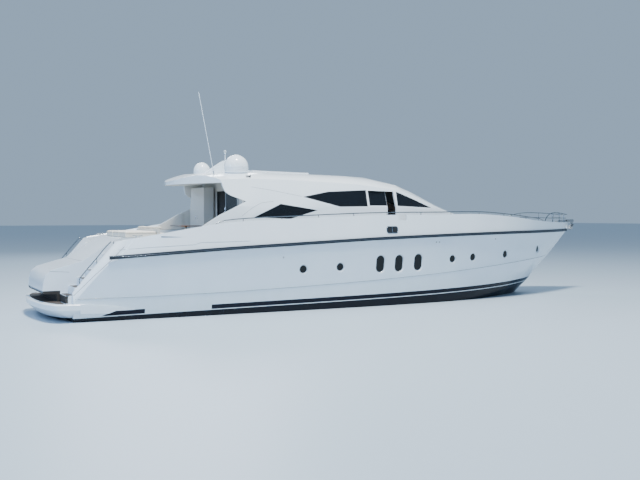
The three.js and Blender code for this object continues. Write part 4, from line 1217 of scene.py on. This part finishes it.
seat_base = joined("helm_seat_base", box_piece("seat", (1.12, -1.23, 2.7805), (1.62, -0.17, 3.18)),
                   box_piece("back", (0.985, -1.23, 3.2), (1.06, -0.17, 3.88)))
finish_piece(rounded(seat_base, 0.012, **CRISP), cream_lining, "upholstery", "helm_seat")
BESIDE = {"starboard": (0, -0.548, 0)}
seat = pad("helm_seat_port", oblong(1.12, 1.66, -0.697, -0.155), 3.1805, 3.34, (1.4,))
back = pad("helm_back_port", oblong(1.06, 1.16, -0.697, -0.155), 3.22, 3.93)
pad_rows(BESIDE, (seat, 3.3, "helm_seat"), (back, 3.88, "helm_back"))


# Foredeck
# Three tapered sunpads lie on the coachroof ahead of the windscreen. Forward of them a smoked hatch
# in a steel frame opens to the cabin, hinged at its forward edge.
COACHROOF_TOP = 3.43
COACHROOF_FALL = 0.0617


def coachroof_z(x):
    return COACHROOF_TOP - (x - FOREDECK_JOINT) * COACHROOF_FALL


PAD_AFT, PAD_FORE = 6.05, 8.2
HALF_AFT, HALF_FORE = 1.25, 0.92
SLOPE = math.atan(COACHROOF_FALL)


def fore_pad(name, left, right):
    """A pad between two shares of the width, tilted to lie on the coachroof."""
    corners = [(PAD_AFT, right * HALF_AFT), (PAD_FORE, right * HALF_FORE),
               (PAD_FORE, left * HALF_FORE), (PAD_AFT, left * HALF_AFT)]
    middle = (PAD_AFT + PAD_FORE) / 2
    base = coachroof_z(middle)
    one = pad(name, corners, base + 0.0005, base + 0.083, (6.75, 7.45))
    edging = welt(one, base + 0.06, 0.005)
    for piece in (one, edging):
        edit(piece)
        bpy.ops.transform.rotate(value=-SLOPE, orient_axis="Y", center_override=(middle, 0, base))
        done()
    return one, edging


for name, left, right, node in (("middle", 0.327, -0.327, "foredeck_sunpad"), ("port", 1, 0.34, None),
                                ("starboard", -0.34, -1, None)):
    one, edging = fore_pad(f"foredeck_sunpad_{name}", left, right)
    upholstered(one, edging, node)

HATCH_MIDDLE = 8.65
hatch = copy_of("cabin_hatch_lid", "cabin_hatch")
given(hatch, steel, tinted_glass)
flattened(hatch)
inset_faces(hatch, lambda c, n: n.z > 0.95 and abs(c.x - HATCH_MIDDLE) < 0.1, 0.04, -0.004, 1)
finish_piece(rounded(hatch, 0.004, 2, 50, 32), steel, "glass", "cabin_hatch")


# Anchor gear
# The anchor lies in its roller at the stem, with its chain led aft over the deck to an upright
# windlass. All of it is stainless steel, cast or forged.

# Cast steel is duller than the drawn: a grainy skin, with softer lights.
cast_steel = two_toned("cast_stainless_steel", 0.28, 1.0, 40.0, 6.0, "#c3c5c7", "#9fa2a5",
                       bump=(0.2, 0.002), rough=(0.2, 0.36))
for node in ("bow_roller", "anchor"):
    finish_piece(rounded(copy_of(f"{node}_forging", node), 0.005), cast_steel, "steel", node)

WINDLASS_AT = (11.18, 0, 2.9505)
drum = stacked("windlass_drum", WINDLASS_AT, [
    (0.128, 0), (0.128, 0.045), (0.12, 0.058), (0.075, 0.07), (0.068, 0.09), (0.06, 0.13), (0.066, 0.16),
    (0.088, 0.19), (0.092, 0.21), (0.088, 0.225), (0.03, 0.232),
], 48)
bed = box_piece("windlass_bed", (11.0, -0.11, 2.9503), (11.5, 0.11, 2.985))
finish_piece(smooth(drum, 35), steel, "steel", "windlass")
finish_piece(rounded(bed, 0.012, 3), cast_steel, "steel")

LINKS = 12
CHAIN_AT = (11.33, 3.016)
LINK_STEP = (0.046, 0.019)
bpy.ops.mesh.primitive_torus_add(major_radius=0.021, minor_radius=0.006, major_segments=14,
                                 minor_segments=6)
chain_link = bpy.context.object
stretched(chain_link, 0.011)
chain = []
for index in range(LINKS):
    twin = copied(chain_link, "link")
    edit(twin)
    if index % 2:
        bpy.ops.transform.rotate(value=math.pi / 2, orient_axis="Y", center_override=(0, 0, 0))
    bpy.ops.transform.rotate(value=math.pi / 2, orient_axis="Z", center_override=(0, 0, 0))
    bpy.ops.transform.translate(value=(CHAIN_AT[0] + LINK_STEP[0] * index, 0,
                                       CHAIN_AT[1] + LINK_STEP[1] * index))
    done()
    chain.append(twin)
bpy.data.objects.remove(chain_link)
anchor_chain = joined("anchor_chain", *chain)
finish_piece(smooth(anchor_chain, 60), cast_steel, "steel")

for node in ("cleat_stern_port", "cleat_stern_starboard", "cleat_bow_port", "cleat_bow_starboard"):
    finish_piece(rounded(copy_of(f"{node}_casting", node), 0.004, 2, 35, 45), steel, "steel", node)


# Rails
# Polished tube welded up and bolted through the bulwark: a low hand rail along each side, the
# pulpit round the bow, and a short rail beside each stair. A turned flange closes each foot of the hand
# rails.
for node in ("hand_rail_port", "hand_rail_starboard", "pulpit", "stair_rail_port", "stair_rail_starboard"):
    finish_piece(smooth(copy_of(f"{node}_tube", node), 50), rail_tube, "steel", node)
RAIL_FEET = (-5.4, -3.9, -2.4, -0.9, 0.6, 2.2, 3.7, 5.2, 6.7, 8.2)
flange = stacked("flange", (0, 0, 0), [(0.03, 0.0004), (0.03, 0.004), (0.026, 0.007), (0.013, 0.01)], 20)
smooth(flange, 40)
rail_points = [v.co.copy() for v in frame["nodes"]["hand_rail_port"].data.vertices]
feet = []
for x in RAIL_FEET:
    near = [p for p in rail_points if abs(p.x - x) < 0.02]
    lowest = min(p.z for p in near)
    foot = [p for p in near if p.z < lowest + 0.012]
    at = sum(foot, Vector()) / len(foot)
    for side in (1, -1):
        top = over(deck_skin, at.x, at.y * side)
        feet.append(set_on(copied(flange, "flange"), top, (0, 0, 1), (0, 1, 0)))
bpy.data.objects.remove(flange)
finish_piece(joined("rail_flanges", *feet), rail_tube, "steel")


# Fittings on the side
# A polished fairlead with two openings for the mooring lines stands in each bulwark. Small drains
# and an air intake are let into the side. A groove runs above the rub rail, and dark seams run down
# the stern's rounded corners and along the sides of the garage.
FAIRLEAD = (0.77, 2.968)
FAIRLEAD_SIZE = (0.53, 0.28)


def rounded_frame(width, height, bar, corner):
    """A closed ring of tube in the shape of a rounded rectangle, face on to +Z."""
    points = []
    for index, (cx, cy) in enumerate(((1, 1), (-1, 1), (-1, -1), (1, -1))):
        for step in range(6):
            turn = math.pi / 2 * (index + step / 5)
            points.append((cx * (width / 2 - corner) + corner * math.cos(turn),
                           cy * (height / 2 - corner) + corner * math.sin(turn), 0))
    return line_along("frame", points, bar, closed=True, sides=4)


# The fairlead's throat is a dark sheet set in its openings: painted shade, for the shadow inside them.
fairlead_painted_shade = two_toned("fairlead_throat", 0.6, 0.0, 30.0, 4.0, "#0c0e11", "#1c2026")
for name, side in SIDES:
    point, normal = on_skin(deck_skin, *FAIRLEAD, side)
    width, height = FAIRLEAD_SIZE
    ring = rounded_frame(width - 0.04, height - 0.04, 0.02, 0.07)
    bar = line_along("bar", [(0, -height / 2 + 0.03, 0.002), (0, height / 2 - 0.03, 0.002)], 0.017, sides=4)
    back = box_piece("throat", (-width / 2 + 0.03, -height / 2 + 0.03, -0.006),
                     (width / 2 - 0.03, height / 2 - 0.03, 0.004))
    rounded(back, 0.05, 5, 60, 50)
    for one, material in ((joined("fairlead", ring, bar), rail_tube), (back, fairlead_painted_shade)):
        one.name = f"{'fairlead' if material is rail_tube else 'fairlead_throat'}_{name}"
        finish_piece(set_on(one, point, normal), material, "steel")

DRAINS = [(-3.88, 2.00), (2.90, 2.455), (3.05, 2.455), (6.15, 2.535)]
drain = stacked("drain", (0, 0, 0), [(0.032, 0.0004), (0.032, 0.006), (0.024, 0.012), (0.014, 0.012),
                                     (0.012, 0.003)], 20)
smooth(drain, 40)
drains = []
for side in (1, -1):
    for x, z in DRAINS:
        point, normal = on_skin(hull_skin, x, z, side)
        drains.append(set_on(copied(drain, "drain"), point, normal))
bpy.data.objects.remove(drain)
finish_piece(joined("hull_drains", *drains), cast_steel, "steel")

# The groove above the rub rail is a grey bead: its grey is painted shade in the groove.
BULWARK_GROOVE = [(-9.87, 2.372), (-8.82, 2.441), (-7.25, 2.51), (-7.02, 2.585), (-6.15, 2.592),
                  (-5.2, 2.613)]
INTAKE = [(-8.42, 2.815), (-7.66, 2.778), (-8.42, 2.775)]
# The intake's slats are blue-grey, with light and dark bands drawn in their colour: painted light on the
# slats and painted shade between them.
intake_painted_light_and_shade, shader, place = new_material("intake_grille", 0.45)
slats = add_node(intake_painted_light_and_shade, "ShaderNodeTexWave", {"Vector": place, "Scale": 12.0}, bands_direction="X")
coloured(intake_painted_light_and_shade, shader, slats.outputs["Fac"], "#3d4f66", "#67809b")
bumped(intake_painted_light_and_shade, shader, slats.outputs["Fac"], 0.5, 0.004)
STERN_SEAM = [(-11.28, 0.885), (-11.0, 1.17), (-10.62, 1.56), (-10.23, 1.925), (-10.05, 2.085),
              (-9.66, 2.48)]
stern_skin = skin_of(hull, deck)
for name, side in SIDES:
    finish_piece(surface_line(f"bulwark_groove_{name}", deck_skin, BULWARK_GROOVE, side, 0.006),
                 painted_shade_bead, "gelcoat")
    finish_piece(surface_line(f"stern_seam_{name}", stern_skin, STERN_SEAM, side, 0.006, 0.06),
                 black_sealant, "gelcoat")
    cheek_line = [(-11.86, side * 1.4495, 1.645), (-11.2, side * 1.4495, 1.6)]
    finish_piece(line_along(f"cheek_seam_{name}", cheek_line, 0.004), black_sealant, "gelcoat")
    corners = [on_skin(deck_skin, x, z, side) for x, z in INTAKE]
    grille = mesh_object(f"air_intake_{name}", [p + n * 0.001 for p, n in corners], [(0, 1, 2)])
    edit(grille)
    bpy.ops.mesh.extrude_region_move(TRANSFORM_OT_translate={"value": (0, side * 0.006, 0)})
    outward()
    done()
    finish_piece(rounded(grille, 0.002, **CRISP), intake_painted_light_and_shade, "dark_trim")


# On the hardtop
# Two white aerial domes on plinths, a fin with the masthead light, a whip aerial in a steel ferrule,
# and a horn, all bolted down. The roof panel rests slid aft, and a rubber seal lines its opening.
DOME_STEPS = 14


def dome(name, node, at, top, radius, base):
    """A dome whose upper half is a hemisphere, with a joint line under it and a waisted plinth."""
    centre = top - radius
    rise = [(radius * math.cos(math.pi / 2 * i / DOME_STEPS), centre + radius *
             math.sin(math.pi / 2 * i / DOME_STEPS)) for i in range(DOME_STEPS)]
    profile = [(0.72 * radius, base), (0.72 * radius, centre - 0.3), (0.76 * radius, centre - 0.285),
               (0.98 * radius, centre - 0.165), (radius, centre - 0.03), (radius, centre - 0.012),
               (0.985 * radius, centre - 0.009), (0.985 * radius, centre - 0.003), *rise,
               (0.02 * radius, top)]
    one = stacked(name, (*at, 0), profile, 48)
    return finish_piece(smooth(one, 30), white_gelcoat, "gelcoat", node)


roof_z = over(house_skin, -4.94, -1.0).z
dome("dome_large", "radome_large", (-4.94, -1.0), 5.79, 0.46, roof_z - 0.01)
roof_z = over(house_skin, -5.52, 1.15).z
dome("dome_small", "radome_small", (-5.52, 1.15), 5.6, 0.33, roof_z - 0.01)

finish_piece(rounded(copy_of("light_mast_fin", "light_mast"), 0.012, 3), white_gelcoat,
             "gelcoat", "light_mast")
# The lantern is a ribbed clear lens. Its ribs are also drawn as light and dark bands in its colour: painted
# light.
lantern_glass, shader, place = new_material("lantern_glass", 0.1, 0.0, **{
    "Transmission Weight": 0.5, "IOR": 1.49,
})
ribs_and_glints = add_node(lantern_glass, "ShaderNodeTexWave", {"Vector": place, "Scale": 60.0}, bands_direction="Z")
coloured(lantern_glass, shader, ribs_and_glints.outputs["Fac"], "#eef2f2", "#cfd8da")
bumped(lantern_glass, shader, ribs_and_glints.outputs["Fac"], 0.3, 0.002)
lantern = stacked("masthead_light", (-4.99, 0, 5.6), [(0.0465, 0.325), (0.0465, 0.395), (0.044, 0.4)], 32)
finish_piece(smooth(lantern, 40), lantern_glass, "glass")

whip = copy_of("whip_aerial_rod", "whip_aerial")
finish_piece(smooth(whip, 60), white_gelcoat, "gelcoat", "whip_aerial")
WHIP_FOOT = Vector((-5.995, -1.45, 5.02))
ferrule = stacked("aerial_ferrule", (0, 0, 0), [(0.03, 0), (0.03, 0.01), (0.02, 0.03), (0.02, 0.12),
                                                (0.0145, 0.13)], 20)
set_on(smooth(ferrule, 40), WHIP_FOOT, (-0.2, 0, 1), (0, 1, 0))
finish_piece(ferrule, steel, "steel")

horn_at = over(house_skin, -4.86, -1.86)
horn = stacked("horn_trumpet", (0, 0, 0), [(0.012, 0), (0.016, 0.06), (0.022, 0.12), (0.036, 0.16),
                                           (0.05, 0.175), (0.052, 0.18), (0.046, 0.178), (0.02, 0.13)], 24)
set_on(smooth(horn, 50), horn_at + Vector((-0.05, 0, 0.05)), (1, 0, 0), (0, 0, 1))
stand = line_along("horn_stand", [horn_at - Vector((0, 0, 0.01)), horn_at + Vector((0, 0, 0.05))], 0.012,
                   sides=3)
finish_piece(joined("horn", horn, stand), black_sealant, "dark_trim")

roof_panel = copy_of("sunroof_panel", "sunroof")
finish_piece(rounded(roof_panel, 0.01, 3, **CRISP), white_gelcoat, "gelcoat", "sunroof")
ROOF_OPENING = [(-1.65, 0.6), (0.62, 0.6), (0.62, -0.6), (-1.65, -0.6)]
SEAL_DROP = 0.01
SEAL_STEPS = 12
# The roof's height is read a little outside the opening.
OUTSIDE = 1.02
ring = []
for (x0, y0), (x1, y1) in zip(ROOF_OPENING, ROOF_OPENING[1:] + ROOF_OPENING[:1]):
    for i in range(SEAL_STEPS):
        x, y = x0 + (x1 - x0) * i / SEAL_STEPS, y0 + (y1 - y0) * i / SEAL_STEPS
        ring.append(Vector((x, y, over(house_skin, OUTSIDE * x, OUTSIDE * y).z - SEAL_DROP)))
finish_piece(line_along("sunroof_seal", ring, 0.007, closed=True), black_sealant, "dark_trim")


# Screws, shafts and rudders
# Cast bronze, turned and ground: four-bladed screws on their shafts in single-arm brackets, the
# stern tubes where the shafts enter the hull, and spade rudders behind them.

# Bronze gone dull in the water: brown and gold patches, and the grinding in its gloss.
bronze = two_toned("ground_bronze", 0.32, 1.0, 22.0, 6.0, "#b08a4c", "#86683a",
                   bump=(0.15, 0.003), rough=(0.24, 0.45))
for node in ("screw", "shaft_bracket", "stern_tube", "rudder"):
    for name in ("port", "starboard"):
        one = copy_of(f"{node}_{name}_casting", f"{node}_{name}")
        finish_piece(rounded(one, 0.004), bronze, "bronze", f"{node}_{name}")
